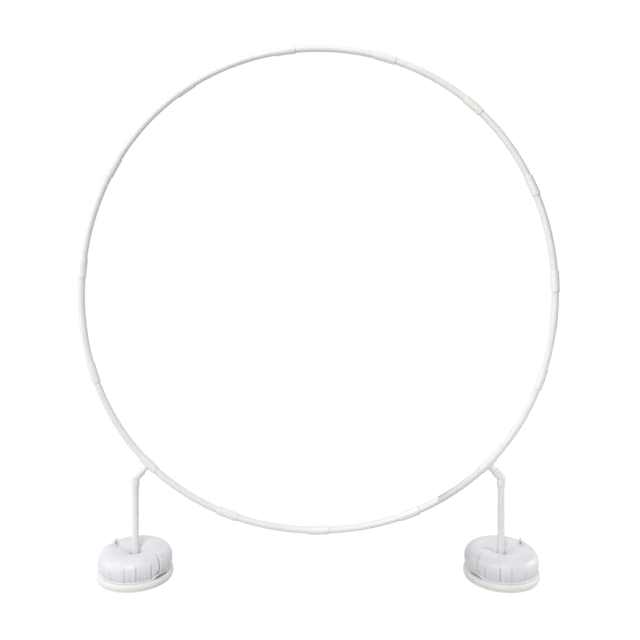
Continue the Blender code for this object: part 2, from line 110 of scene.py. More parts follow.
# ---- sizes and colours --------------------------------------------------------------------------
class HoopSizes(bpy.types.PropertyGroup):
    """The hoop's line, its tubes and their sleeves."""
    radius: length("Radius", 0.884, "Mean radius of the tubes' centreline")
    centre_height: length("Centre height", 1.048, "The hoop's centre above the floor")
    stretch: length("Stretch", 0.0071, "How far the hoop stands taller than round")
    pear: length("Pear", 0.0038, "How far its top is rounder than its bottom")
    shoulder: length("Shoulder", 0.0048, "How far it stands proud above and below its sides")
    tube_diameter: length("Tube diameter", 0.025, "Outside of the bent tubes")
    tube_wall: length("Tube wall", 0.0022, "Wall of the bent tubes")
    tube_edge: length("Tube edge", 0.0004, "Broken edge of a cut tube")
    fit_gap: length("Fit gap", 0.0003, "Clearance of a push fit")
    sleeve_wall: length("Sleeve wall", 0.0026, "Wall of couplings, tees and elbows")
    stop_width: length("Stop width", 0.003, "Rib inside a sleeve that the tube ends meet")
    coupling_length: length("Coupling length", 0.076, "From mouth to mouth")
    tee_length: length("Tee length", 0.068, "From mouth to mouth along the hoop")
    mouth_round: length("Mouth round", 0.0011, "Rounding of a sleeve's outer lip")
    mouth_lead: length("Mouth lead", 0.0013, "Length of the countersink inside a sleeve's mouth")
    mouth_flare: length("Mouth flare", 0.00078, "How far that countersink widens the mouth")
    mouth_edge: length("Mouth edge", 0.0003, "Broken edges of that countersink")
    fillet: length("Fillet", 0.0042, "Fillet where a tee's branch meets its sleeve, along it")
    side_fillet: length("Side fillet", 0.00189, "The same fillet on the branch's two sides")
    foot_angle: angle("Foot angle", 44.3, "Where each tee sits, from straight down")
    right_tube_angle: angle("Right tube angle", 23.93, "Turn of each tube on the right")
    lower_tubes: number("Lower tubes", 4, "Between the tees, below")
    right_tubes: number("Right tubes", 6, "Up from the right tee and over the top")
    left_tubes: number("Left tubes", 5, "Down to the left tee")


class FootSizes(bpy.types.PropertyGroup):
    """Tee branch, elbow, post and base."""
    branch_diameter: length("Branch diameter", 0.0245, "Outside of the tee's branch")
    branch_wall: length("Branch wall", 0.0024, "Wall of the tee's branch")
    branch_bare: length("Bare branch", 0.021, "Branch that shows between tee and elbow")
    upper_arm: length("Upper arm", 0.035, "Elbow's upper mouth to its corner")
    lower_arm: length("Lower arm", 0.031, "Elbow's corner to its lower mouth")
    throat: length("Throat", 0.0018, "Radius left on the inside of the bend")
    elbow_bore: length("Elbow bore", 0.020, "The way through the bend")
    post_diameter: length("Post diameter", 0.024, "Outside of the post")
    post_wall: length("Post wall", 0.002, "Wall of the post")
    base_height: length("Base height", 0.027, "Top of the base's disc")
    base_wall: length("Base wall", 0.003, "Wall of the base")
    base_edge: length("Base edge", 0.010, "Rounding of the upper rim")
    base_step: length("Base step", 0.0035, "How far the foot ring stands in")
    step_height: length("Step height", 0.0065, "Height of the foot ring")
    foot_ring: length("Foot ring", 0.004, "Width of the foot ring")
    boss_wall: length("Boss wall", 0.003, "Wall of the boss that holds the post")
    boss_top: length("Boss top", 0.060, "Top of the boss above the floor")
    boss_fillet: length("Boss fillet", 0.0024, "Fillet between boss and disc")
    socket_floor: length("Socket floor", 0.004, "Under the post")
    rib_count: number("Ribs", 8, "Ribs under the disc")
    rib_thickness: length("Rib thickness", 0.0024, "Of each rib")
    rib_clearance: length("Rib clearance", 0.003, "From the floor to the ribs")
    rib_bite: length("Rib bite", 0.0015, "How far a rib runs into what it joins")


class BagSizes(bpy.types.PropertyGroup):
    """The water bag's section, folds and welded edge."""
    diameter: length("Diameter", 0.27, "Widest part of the filled bag")
    hole: length("Hole", 0.038, "Diameter of the hole round the boss")
    bottom: length("Bottom", 0.0273, "Height of the bag's flat underside")
    crown: length("Crown", 0.105, "Height of the bag's top")
    pressed: length("Pressed", 0.0073, "Part of the round section pressed flat on the base")
    side_fullness: level("Side fullness", 0.66, "Under 1 fills the upper corner of the section")
    foot_fullness: level("Foot fullness", 0.46, "The same, in the lower corner")
    lip_fullness: level("Lip fullness", 0.45, "The same, where the top turns into the hole")
    crown_fullness: level("Crown fullness", 0.92, "Under 1 flattens the top")
    dish: length("Dish", 0.019, "How far the top falls towards the post")
    dish_radius: length("Dish radius", 0.07, "Where that fall starts")
    dish_steepening: level("Dish steepening", 1.5, "Power of the way in that it follows")
    pucker: length("Pucker", 0.0011, "How high the film puckers round the hole")
    pucker_reach: length("Pucker reach", 0.028, "How far out from the hole it does so")
    slack: length("Slack", 0.0018, "How far the film is drawn in before the water fills it")
    most_push: length("Most push", 0.004, "The furthest that the water moves the film")
    weld_radius: length("Weld radius", 0.124, "Where the film outside the weld starts")
    weld_height: length("Weld height", 0.0046, "From the underside up to the weld")
    flange_width: length("Flange width", 0.0062, "Film outside the weld")
    flange_droop: angle("Flange droop", 34.0, "How steeply that film droops")
    film: length("Film", 0.0006, "Thickness of one film")
    lift: length("Lift", 0.0105, "How far the edge beside the overlap stands off the base")
    lifted_width: length("Lifted width", 0.004, "How much wider the film outside the weld is there")
    lifted_droop: angle("Lifted droop", 6.0, "How steeply it droops there")


class ValveSizes(bpy.types.PropertyGroup):
    """The filling valve and its stopper."""
    seat: length("Seat", 0.1014, "Height of the flange's seat in the bag's top")
    gap: length("Gap", 0.0003, "Between pieces that rest on each other")
    flange_diameter: length("Flange diameter", 0.026, "Disc on the bag's skin")
    flange_thickness: length("Flange thickness", 0.0016, "Of that disc")
    bore: length("Bore", 0.0076, "The way in")
    bore_floor: length("Bore floor", 0.0014, "Closes the bore in the bag")
    neck_wall: length("Neck wall", 0.0016, "Wall of the neck")
    neck_height: length("Neck height", 0.016, "Above the flange")
    neck_flare: length("Neck flare", 0.0036, "How much wider the neck stands at its foot")
    neck_lead: length("Neck lead", 0.0009, "How far the neck narrows to its mouth")
    neck_depth: length("Neck depth", 0.012, "Below the flange, in the bag")
    flap_bottom: length("Flap bottom", 0.0066, "From the seat up to the check flap")
    flap_top: length("Flap top", 0.013, "From the seat up to its top")
    cap_height: length("Cap height", 0.0078, "Of the stopper's cap, a cone to pull it by")
    cap_rim: length("Cap rim", 0.0016, "Upright part of the cap, below the cone")
    cap_narrowing: length("Cap narrowing", 0.003, "How far the cone narrows to its tip")
    cap_overhang: length("Cap overhang", 0.0004, "How far the cap stands past the neck")
    stem_length: length("Stem length", 0.0045, "Of the stopper's stem")
    stem_taper: length("Stem taper", 0.0008, "How far the stem narrows to its tip")
    strap_width: length("Strap width", 0.0042, "Of the stopper's strap")
    strap_thickness: length("Strap thickness", 0.0012, "Of the stopper's strap")
    hinge_reach: length("Hinge reach", 0.011, "Valve's axis to the strap's hinge")
    hinge_diameter: length("Hinge diameter", 0.0018, "Round end of the strap")
    hinge_overhang: length("Hinge overhang", 0.0002, "How far that end stands past the strap")
    ear_width: length("Ear width", 0.0048, "Of the ear that holds the strap")
    ear_thickness: length("Ear thickness", 0.002, "Of that ear")
    ear_bite: length("Ear bite", 0.0004, "How far it runs into the flange")


class Colours(bpy.types.PropertyGroup):
    """Base colours, as sRGB hex."""
    tube: colour("Tube", "EEEDEA", "Extruded white PVC")
    fitting: colour("Fitting", "F0F0ED", "Moulded white PVC")
    base: colour("Base", "F1F0EB", "Moulded ivory polypropylene")
    film: colour("Film", "E7E8EC", "Calendered soft PVC film")
    valve: colour("Valve", "F0F4FC", "Clear bluish PVC")
    stopper: colour("Stopper", "E3E9F7", "Milky blue PVC of the stopper")
    # Partly painted shade: the navy flap is a part of the valve, and it also darkens the bore as
    # painted shade.
    flap: colour("Flap", "16205E", "Navy check flap inside the neck")
    floor: colour("Floor", "C8C8C7", "Studio floor, as it lights the pieces from below")


class StageSettings(bpy.types.PropertyGroup):
    """Camera and studio light."""
    distance: length("Distance", 2.7, "Camera to the hoop's plane")
    scale: length("Scale", 0.00368, "One pixel in the hoop's plane")
    sideways: length("Sideways", 0.0063, "Camera off the hoop's middle")
    height: length("Height", 1.292, "Camera above the floor")
    shift: level("Shift", -0.15, "Lens shift that frames it")
    fill: level("Fill", 0.59, "Light from all round")
    tilt: level("Tilt", 0.42, "How much of that comes from the left")
    key: level("Key", 375.0, "Key softbox, above the front, in watts")
    left: level("Left", 85.0, "Left softbox, in watts")
    right: level("Right", 2.5, "Gridded softbox, right, in watts")
    right_spread: angle("Right spread", 50.0, "How wide its grid lets it shine")
    back: level("Back", 60.0, "Softbox behind, in watts")
    card: level("Card", 0.5, "Grey of the card by the right foot")
    dark_card: level("Dark card", 0.02, "Grey of the card right of the hoop")
    floor_reach: length("Floor reach", 6.0, "From the middle of the floor to its edges")
    white: level("White", 0.86, "Floor's own white in the view, round the stand")
    white_reach: length("White reach", 1.3, "How far out it keeps that white")
    full_white: length("Full white", 3.2, "How far out it is as white as the background")
    shadow: level("Shadow", 0.22, "How far the floor shows shadow")


# ---- nodes --------------------------------------------------------------------------------------
def linear(hex_colour):
    """Turn an sRGB hex colour into linear RGBA: a straight foot, then a power of 2.4."""
    value = np.array([int(hex_colour[at:at + 2], 16) for at in (0, 2, 4)]) / 255
    low = value / 12.92
    high = ((value + 0.055) / 1.055) ** 2.4
    return (*np.where(value <= 0.04045, low, high).tolist(), 1.0)


def add_node(tree, kind, settings=None, values=None, links=None):
    """Add a node, with its settings, its input values and the sockets that feed it."""
    node = tree.nodes.new(kind)
    for name, value in (settings or {}).items():
        setattr(node, name, value)
    for name, value in (values or {}).items():
        node.inputs[name].default_value = value
    for name, socket in (links or {}).items():
        tree.links.new(socket, node.inputs[name])
    return node


def new_material(name, values):
    """A material and its shader, with the shader's plain values set."""
    material = bpy.data.materials.new(name)
    material.use_nodes = True
    tree = material.node_tree
    shader = tree.nodes["Principled BSDF"]
    for socket, value in values.items():
        shader.inputs[socket].default_value = value
    return material, tree, shader


def add_finish(tree, shader, patterns, shades, polish, relief):
    """Give a shader its colour, roughness and bumps from noise; return the colour's socket.

    A pattern is (vector, size of its features in millimetres, detail, roughness).  The middle of
    one spans two shares of a colour, one spreads over the roughness, and each of the relief's
    (pattern, depth in millimetres) is chained into the normal.
    """
    made = {}
    for name, (vector, millimetres, detail, rough) in patterns.items():
        noise = add_node(tree, "ShaderNodeTexNoise", {"noise_dimensions": "3D"},
                         {"Scale": 1000 / millimetres, "Detail": detail, "Roughness": rough},
                         {"Vector": vector})
        made[name] = noise.outputs["Fac"]
    pattern, hex_colour, darker, lighter = shades
    ramp = add_node(tree, "ShaderNodeValToRGB", links={"Fac": made[pattern]})
    middle = np.array(linear(hex_colour)[:3])
    for stop, place, share in zip(ramp.color_ramp.elements, (0.3, 0.7), (darker, lighter)):
        stop.position = place
        stop.color = (*np.minimum(middle * share, 1.0).tolist(), 1.0)
    tree.links.new(ramp.outputs["Color"], shader.inputs["Base Color"])
    pattern, glossiest, mattest = polish
    spread = add_node(tree, "ShaderNodeMapRange", links={"Value": made[pattern]},
                      values={"To Min": glossiest, "To Max": mattest})
    tree.links.new(spread.outputs["Result"], shader.inputs["Roughness"])
    normal = {}
    for pattern, millimetres in relief:
        bump = add_node(tree, "ShaderNodeBump", links={"Height": made[pattern], **normal},
                        values={"Strength": 1.0, "Distance": millimetres / 1000})
        normal = {"Normal": bump.outputs["Normal"]}
    tree.links.new(normal["Normal"], shader.inputs["Normal"])
    return ramp.outputs["Color"]


def extruded_pvc(name, hex_colour):
    """Rigid PVC tube drawn through a die: satin, with faint lines along it and rub marks.

    The piece's grain attribute holds each point as if the tube ran straight along Z, where the
    die's lines are fifty times as long as wide, and the rub marks eight times.
    """
    material, tree, shader = new_material(name, {"IOR": 1.53, "Metallic": 0.0})
    grain = add_node(tree, "ShaderNodeAttribute", {"attribute_name": "grain"}).outputs["Vector"]
    lines, rubbed = (add_node(tree, "ShaderNodeMapping", values={"Scale": (1.0, 1.0, share)},
                              links={"Vector": grain}).outputs["Vector"] for share in (0.02, 0.12))
    place = add_node(tree, "ShaderNodeTexCoord").outputs["Object"]
    patterns = {"die_line": (lines, 1.6, 2.0, 0.5), "cloud": (place, 60.0, 4.0, 0.6),
                "rub": (rubbed, 9.0, 3.0, 0.6)}
    add_finish(tree, shader, patterns, ("cloud", hex_colour, 0.965, 1.02), ("rub", 0.30, 0.52),
               (("die_line", 0.005), ("rub", 0.008)))
    return material


def moulded_pvc(name, hex_colour):
    """Injection-moulded rigid PVC: a little glossier than the tube, with a faint orange peel."""
    material, tree, shader = new_material(name, {"IOR": 1.53, "Metallic": 0.0})
    place = add_node(tree, "ShaderNodeTexCoord").outputs["Object"]
    patterns = {"peel": (place, 2.5, 2.0, 0.5), "cloud": (place, 35.0, 4.0, 0.6),
                "rub": (place, 9.0, 3.0, 0.6)}
    add_finish(tree, shader, patterns, ("cloud", hex_colour, 0.97, 1.02), ("rub", 0.24, 0.42),
               (("peel", 0.008), ("rub", 0.012)))
    return material


def moulded_polypropylene(name, hex_colour):
    """Injection-moulded polypropylene from a spark-eroded mould: matt, warm, finely grained."""
    material, tree, shader = new_material(name, {"IOR": 1.49, "Metallic": 0.0})
    place = add_node(tree, "ShaderNodeTexCoord").outputs["Object"]
    patterns = {"grain": (place, 1.1, 2.0, 0.6), "cloud": (place, 45.0, 5.0, 0.6),
                "scuff": (place, 12.0, 4.0, 0.65)}
    add_finish(tree, shader, patterns, ("cloud", hex_colour, 0.95, 1.02), ("scuff", 0.42, 0.62),
               (("grain", 0.02), ("scuff", 0.04)))
    return material


# Painted shade: the colour that the film's deepest creases are darkened towards.
CREASE_SHADE_TINT = (0.40, 0.41, 0.45, 1.0)   # what the deepest fold leaves of the film's colour


def calendered_film(name, hex_colour):
    """Soft PVC film, rolled to 0.6 mm: smooth, with a satin sheen, and finely puckered.

    The piece's grain attribute holds, as x, how deep in a crease the film lies; there the film's
    colour is painted darker and bluer, as painted shade in the creases.
    """
    material, tree, shader = new_material(name, {"IOR": 1.52, "Metallic": 0.0,
                                                 "Coat Weight": 0.15, "Coat Roughness": 0.3})
    place = add_node(tree, "ShaderNodeTexCoord").outputs["Object"]
    patterns = {"pebble": (place, 1.3, 2.0, 0.5), "pucker": (place, 16.0, 5.0, 0.55),
                "cloud": (place, 50.0, 5.0, 0.6)}
    plain = add_finish(tree, shader, patterns, ("cloud", hex_colour, 0.955, 1.02),
                       ("pucker", 0.38, 0.54), (("pucker", 0.9), ("pebble", 0.02)))
    crease_shade = add_node(tree, "ShaderNodeAttribute", {"attribute_name": "grain"}).outputs["Vector"]
    deep = add_node(tree, "ShaderNodeSeparateXYZ", links={"Vector": crease_shade}).outputs["X"]
    # Of a colour mix, sockets 0, 6 and 7 are its factor and its two colours, and output 2 the mix.
    # Painted shade: the film's colour is multiplied towards the crease tint by how deep in a crease it
    # lies.
    shaded = add_node(tree, "ShaderNodeMix", {"data_type": "RGBA", "blend_type": "MULTIPLY"},
                      {7: CREASE_SHADE_TINT}, {0: deep, 6: plain})
    tree.links.new(shaded.outputs[2], shader.inputs["Base Color"])
    return material


def clear_soft_pvc(name, hex_colour, clearness, opacity=1.0):
    """Plasticised PVC, moulded: glossy, faintly streaked, see-through as far as it is clear."""
    material, tree, shader = new_material(name, {"IOR": 1.52, "Metallic": 0.0, "Alpha": opacity,
                                                 "Transmission Weight": clearness})
    place = add_node(tree, "ShaderNodeTexCoord").outputs["Object"]
    add_finish(tree, shader, {"flow": (place, 3.0, 3.0, 0.5)}, ("flow", hex_colour, 0.93, 1.0),
               ("flow", 0.08, 0.2), (("flow", 0.05),))
    return material


# ---- surfaces -----------------------------------------------------------------------------------
def around(parts):
    """Angles spaced evenly once round."""
    return 2 * pi * np.arange(parts) / parts


def rising(value, start, end):
    """From 0 at the start to 1 at the end, in a straight line, and level beyond them."""
    return np.clip((value - start) / (end - start), 0, 1)


def filled_out(wave, power):
    """A sine or cosine raised to a power with its sign kept; under 1 it fills out the corners."""
    return np.sign(wave) * np.abs(wave) ** power


def grid_faces(rows, columns):
    """Quads of a grid that closes on itself both ways, as vertex numbers."""
    row, column = np.meshgrid(np.arange(rows), np.arange(columns), indexing="ij")
    next_row, next_column = (row + 1) % rows, (column + 1) % columns
    corners = (row * columns + column, row * columns + next_column,
               next_row * columns + next_column, next_row * columns + column)
    return np.stack(corners, -1).reshape(-1, 4)


def volume_of(vertices, faces):
    """Signed volume inside quads, times six: the sum of each half's triple product."""
    a, b, c, d = (vertices[faces[:, at]] for at in range(4))
    return (np.einsum("ij,ij->i", a, np.cross(b, c)) + np.einsum("ij,ij->i", a, np.cross(c, d))).sum()


def outward_faces(points, rows, columns):
    """The quads of a closed grid, turned so that they point outwards."""
    faces = grid_faces(rows, columns)
    return faces[:, ::-1] if volume_of(points, faces) < 0 else faces


def piece_from_grids(name, grids, material):
    """One object from closed grids of points; the faces of each are turned to point outwards.

    A grid is (rows, columns, 3), or a pair of such grids, where the second holds each point's
    place in the material's grain.
    """
    vertices, grains, faces, start = [], [], [], 0
    for grid in grids:
        shape, grain = grid if isinstance(grid, tuple) else (grid, grid)
        points = shape.reshape(-1, 3)
        vertices.append(points)
        grains.append(grain.reshape(-1, 3))
        faces.append(outward_faces(points, *shape.shape[:2]) + start)
        start += len(points)
    vertices, faces = np.concatenate(vertices), np.concatenate(faces)
    mesh = bpy.data.meshes.new(name)
    mesh.vertices.add(len(vertices))
    mesh.vertices.foreach_set("co", vertices.astype(np.float32).ravel())
    mesh.loops.add(faces.size)
    mesh.loops.foreach_set("vertex_index", faces.astype(np.int32).ravel())
    mesh.polygons.add(len(faces))
    mesh.polygons.foreach_set("loop_start", np.arange(0, faces.size, 4, dtype=np.int32))
    mesh.update(calc_edges=True)
    attribute = mesh.attributes.new("grain", "FLOAT_VECTOR", "POINT")
    attribute.data.foreach_set("vector", np.concatenate(grains).astype(np.float32).ravel())
    close_poles(mesh)
    mesh.shade_smooth()
    mesh.set_sharp_from_angle(angle=SHARP_EDGE)
    mesh.materials.append(material)
    piece = bpy.data.objects.new(name, mesh)
    bpy.context.scene.collection.objects.link(piece)
    return piece


def close_poles(mesh):
    """Merge the points that lie on each other at a pole, and drop the faces that this empties."""
    shape = bmesh.new()
    shape.from_mesh(mesh)
    bmesh.ops.remove_doubles(shape, verts=shape.verts, dist=1e-7)
    bmesh.ops.dissolve_degenerate(shape, dist=1e-8, edges=shape.edges)
    shape.to_mesh(mesh)
    shape.free()


def dress(piece, body, slot, *nodes):
    """Let a piece ride on its body and stand for its CAD nodes; its slot is not used."""
    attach(piece, body)
    if nodes:
        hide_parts(*nodes)


def finer(profile, longest):
    """Split each side of a closed profile into equal parts no longer than a length."""
    pieces = []
    for start, end in zip(profile, np.roll(profile, -1, axis=0)):
        parts = max(1, int(np.ceil(np.linalg.norm(end - start) / longest)))
        share = np.arange(parts)[:, None] / parts
        pieces.append(start + (end - start) * share)
    return np.concatenate(pieces)


def eased(corners, longest, steps=5):
    """A closed profile from corners of (place, radius, cut), its sides split below a length.

    Each corner becomes the curve (1-t)^2 a + 2t(1-t) c + t^2 b, where c is the corner, and a and
    b lie its cut away on the two sides that meet there.
    """
    corners = np.array(corners, float)
    points = corners[:, :2]
    t = np.linspace(0.0, 1.0, steps + 1)[:, None]
    rounded = []
    for at, (corner, cut) in enumerate(zip(points, corners[:, 2])):
        if not cut:
            rounded.append(corner[None])
            continue
        before, after = points[at - 1] - corner, points[(at + 1) % len(points)] - corner
        a, b = (corner + side / np.linalg.norm(side) * cut for side in (before, after))
        rounded.append((1 - t) ** 2 * a + 2 * t * (1 - t) * corner + t ** 2 * b)
    return finer(np.concatenate(rounded), longest)


def carried(profile, line, sides):
    """Carry a closed profile of (place, radius) round a line.

    Each point is the line's point at that place plus the radius times cos(turn) outwards plus
    sin(turn) along Y.  The grain is the same point as if the line were straight.
    """
    place, radius = profile[:, 0], profile[:, 1]
    point, outward = line(place)
    across, along = np.cos(around(sides)), np.sin(around(sides))
    spoke = across[None, :, None] * outward[:, None] + along[None, :, None] * ACROSS_Y
    shape = point[:, None] + radius[:, None, None] * spoke
    grain = np.stack(np.broadcast_arrays(radius[:, None] * across, radius[:, None] * along,
                                         place[:, None]), -1)
    return shape, grain


def turned(corners, middle, longest=0.002, sides=40, steps=5):
    """Turn a closed profile of (height, radius, cut) round an upright axis over a point."""
    def line(height):
        point = np.stack((0 * height + middle[0], 0 * height + middle[1], height), -1)
        return point, np.broadcast_to((1.0, 0.0, 0.0), point.shape)
    return carried(eased(corners, longest, steps), line, sides)


def tube_corners(low, high, diameter, wall):
    """A plain tube between two places, its edges just broken."""
    edge = bpy.context.scene.arch_hoop.tube_edge
    outside, inside = diameter / 2, diameter / 2 - wall
    return [(low, outside, edge), (high, outside, edge), (high, inside, edge), (low, inside, edge)]


def bar(start, end, across, thick, rounding=6.0, sides=24, offset=0.5, end_share=0.8):
    """A bar between two points: |u/a|^n + |w/b|^n = 1 carried along it, drawn in at its ends."""
    start, end, across = np.array(start), np.array(end), np.array(across)
    reach, width = np.linalg.norm(end - start), np.linalg.norm(across)
    along, side = (end - start) / reach, across / width
    up = np.cross(along, side)
    turn = 2 * pi * (np.arange(sides) + offset) / sides
    u = filled_out(np.cos(turn), 2 / rounding) * width / 2
    w = filled_out(np.sin(turn), 2 / rounding) * thick / 2
    inset = thick * (1 - end_share)
    stations = np.array([0.0, 0.0, inset, reach - inset, reach, reach])
    shrink = np.array([0.0, end_share, 1.0, 1.0, end_share, 0.0])
    ring = (u[:, None] * side + w[:, None] * up)[None] * shrink[:, None, None]
    return start + stations[:, None, None] * along + ring


# ---- hoop ---------------------------------------------------------------------------------------
TEE_SIDES = 64


def hoop_at(angle):
    """The hoop's centreline and outward direction at angles from straight down, and its reach.

    Its reach is radius + stretch cos 2a - pear cos 3a - shoulder cos 4a; the outward direction
    is square to the line, from the derivative of the same formula.
    """
    h = bpy.context.scene.arch_hoop
    angle = np.asarray(angle, float)
    reach = (h.radius + h.stretch * np.cos(2 * angle) - h.pear * np.cos(3 * angle)
             - h.shoulder * np.cos(4 * angle))
    change = (-2 * h.stretch * np.sin(2 * angle) + 3 * h.pear * np.sin(3 * angle)
              + 4 * h.shoulder * np.sin(4 * angle))
    flat = np.zeros_like(angle)
    point = np.stack((reach * np.sin(angle), flat, h.centre_height - reach * np.cos(angle)), -1)
    along = np.stack((change * np.sin(angle) + reach * np.cos(angle), flat,
                      reach * np.sin(angle) - change * np.cos(angle)), -1)
    along /= np.linalg.norm(along, axis=-1, keepdims=True)
    return point, np.stack((along[..., 2], flat, -along[..., 0]), -1), reach


def hoop_line(joint):
    """The hoop's line by length from a joint."""
    reach = hoop_at(joint)[2]
    return lambda place: hoop_at(joint + place / reach)[:2]


def hoop_joints():
    """Where the tubes meet, from the right tee up and over and along the bottom."""
    h = bpy.context.scene.arch_hoop
    left_turn = (2 * pi - 2 * h.foot_angle - h.right_tubes * h.right_tube_angle) / h.left_tubes
    turns = [h.right_tube_angle] * h.right_tubes + [left_turn] * h.left_tubes
    turns += [2 * h.foot_angle / h.lower_tubes] * h.lower_tubes
    return h.foot_angle + np.concatenate(([0.0], np.cumsum(turns)))


def mouth(place, outside, bore):
    """A sleeve's mouth, from its rounded lip to the end of its countersink."""
    h = bpy.context.scene.arch_hoop
    inner = place - np.sign(place) * h.mouth_lead
    return [(place, outside, h.mouth_round), (place, bore + h.mouth_flare, h.mouth_edge),
            (inner, bore, h.mouth_edge)]


def sleeve_section(length):
    """A sleeve's closed profile, two sockets with a stop rib between them, and its radius."""
    h = bpy.context.scene.arch_hoop
    bore = h.tube_diameter / 2 + h.fit_gap
    outside, stop = bore + h.sleeve_wall, h.tube_diameter / 2 - h.tube_wall
    half, rib = length / 2, h.stop_width / 2
    corners = [*mouth(half, outside, bore), (rib, bore, 0), (rib, stop, 0), (-rib, stop, 0),
               (-rib, bore, 0), *reversed(mouth(-half, outside, bore))]
    return eased(corners, longest=0.005), outside


class ARCH_OT_hoop_tubes(bpy.types.Operator):
    """Make the fifteen bent tubes of the hoop"""
    bl_idname = "arch.hoop_tubes"
    bl_label = "Hoop tubes"

    def execute(self, context):
        h = context.scene.arch_hoop
        material = extruded_pvc("extruded_white_pvc", context.scene.arch_colours.tube)
        joints = hoop_joints()
        inset = h.stop_width / 2 + h.fit_gap
        for index, (start, end) in enumerate(zip(joints, joints[1:])):
            middle = (start + end) / 2
            first, reach, last = (hoop_at(angle)[2] for angle in (start, middle, end))
            low = (start - middle) * reach + inset * reach / first
            high = (end - middle) * reach - inset * reach / last
            profile = eased(tube_corners(low, high, h.tube_diameter, h.tube_wall), longest=0.009,
                            steps=2)
            label = str(index + 1).zfill(2)
            tube = piece_from_grids("bent_tube_" + label,
                                    [carried(profile, hoop_line(middle), sides=40)], material)
            dress(tube, "hoop", "tube_pvc", "hoop_tube_" + label)
        return {"FINISHED"}


class ARCH_OT_couplings(bpy.types.Operator):
    """Make the thirteen straight sleeves that join the tubes"""
    bl_idname = "arch.couplings"
    bl_label = "Couplings"

    def execute(self, context):
        h = context.scene.arch_hoop
        material = moulded_pvc("moulded_white_pvc", context.scene.arch_colours.fitting)
        profile = sleeve_section(h.coupling_length)[0]
        joints = hoop_joints()[:-1]
        plain = [at for at in range(len(joints)) if at not in (0, h.right_tubes + h.left_tubes)]
        for index, at in enumerate(plain):
            label = str(index + 1).zfill(2)
            sleeve = piece_from_grids("coupling_sleeve_" + label,
                                      [carried(profile, hoop_line(joints[at]), sides=48)], material)
            dress(sleeve, "hoop", "fitting_pvc", "coupling_" + label)
        return {"FINISHED"}


def elbow_bend():
    """The radius of the elbow's bend, and how far each arm gives way to it."""
    h, f = bpy.context.scene.arch_hoop, bpy.context.scene.arch_foot
    turn = np.arccos(np.dot(hoop_at(h.foot_angle)[1], DOWN))
    radius = max(f.branch_diameter, f.post_diameter) / 2 + h.fit_gap + h.sleeve_wall + f.throat
    return radius, radius * tan(turn / 2)


def branch_surface(joint, outside):
    """The tee's branch: a tube on the outward line, flared to the sleeve by a fillet.

    Over the fillet each point is (1-t)^2 foot + 2t(1-t) corner + t^2 top, where foot and corner
    lie on the sleeve, at height sqrt(R^2 - y^2), and top is on the branch.  The surface ends and
    closes inside the sleeve's wall.
    """
    h, f = bpy.context.scene.arch_hoop, bpy.context.scene.arch_foot
    point, outward, _ = hoop_at(joint)
    along = np.cross(outward, ACROSS_Y)
    tip = outside + f.branch_bare + f.upper_arm - elbow_bend()[1] - h.fit_gap
    radius, bore = f.branch_diameter / 2, f.branch_diameter / 2 - f.branch_wall
    x, y = np.cos(around(TEE_SIDES)), np.sin(around(TEE_SIDES))
    skin, sunk = 0.0001, 0.001

    def ring(reach_x, reach_y, height):
        return np.stack(np.broadcast_arrays(reach_x * x, reach_y * y, height), -1)

    def on_sleeve(reach_y):
        return np.sqrt(outside ** 2 - (reach_y * y) ** 2)

    foot_x, foot_y = radius + h.fillet, radius + h.side_fillet
    foot = ring(foot_x, foot_y, on_sleeve(foot_y) - skin)
    corner = ring(radius, radius, on_sleeve(radius))
    top = ring(radius, radius, on_sleeve(radius) + h.fillet)
    t = np.linspace(0.0, 1.0, 8)[:, None, None]
    fillet = (1 - t) ** 2 * foot + 2 * t * (1 - t) * corner + t ** 2 * top
    rows = [ring(foot_x * 0.97, foot_y * 0.97, on_sleeve(foot_y) - skin - sunk), *fillet]
    lip = ((0.0007, 0.0), (0.0002, 0.0002), (0.0, 0.0007))
    rows += [ring(radius - cut, radius - cut, tip - drop) for drop, cut in lip]
    rows += [ring(bore, bore, tip), ring(bore, bore, on_sleeve(radius) - sunk)]
    local = np.array(rows)
    return point + local[..., :1] * along + local[..., 1:2] * ACROSS_Y + local[..., 2:] * outward


class ARCH_OT_tees(bpy.types.Operator):
    """Make the two tees, each a sleeve with a branch that points out of the hoop"""
    bl_idname = "arch.tees"
    bl_label = "Tees"

    def execute(self, context):
        h = context.scene.arch_hoop
        material = bpy.data.materials["moulded_white_pvc"]
        profile, outside = sleeve_section(h.tee_length)
        joints = hoop_joints()
        for (word, _), at in zip(SIDES, (h.right_tubes + h.left_tubes, 0)):
            grids = [carried(profile, hoop_line(joints[at]), TEE_SIDES),
                     branch_surface(joints[at], outside)]
            tee = piece_from_grids("tee_fitting_" + word, grids, material)
            dress(tee, "hoop", "fitting_pvc", "tee_" + word)
        return {"FINISHED"}


def elbow_line(word, side):
    """The elbow's line by length from its corner: an arm, an arc of a circle and an arm."""
    corner = joint_place("foot_swivel_" + word)
    radius, tangent = elbow_bend()
    towards_hoop = -hoop_at(side * bpy.context.scene.arch_hoop.foot_angle)[1]
    inside = towards_hoop + DOWN

    def outer_side(arm):
        across = inside.dot(arm) * arm - inside
        return across / np.linalg.norm(across)

    upper_side, lower_side = outer_side(towards_hoop), outer_side(DOWN)
    spread = np.arccos(np.clip(upper_side.dot(lower_side), -1, 1))
    centre = corner + towards_hoop * tangent - upper_side * radius

    def line(place):
        share = np.clip((place + tangent) / (2 * tangent), 0.0, 1.0)[:, None]
        out = np.sin((1 - share) * spread) * upper_side + np.sin(share * spread) * lower_side
        out /= np.sin(spread)
        past_upper = np.clip(-place - tangent, 0.0, None)[:, None]
        past_lower = np.clip(place - tangent, 0.0, None)[:, None]
        return centre + out * radius + past_upper * towards_hoop + past_lower * DOWN, out
    return line, tangent


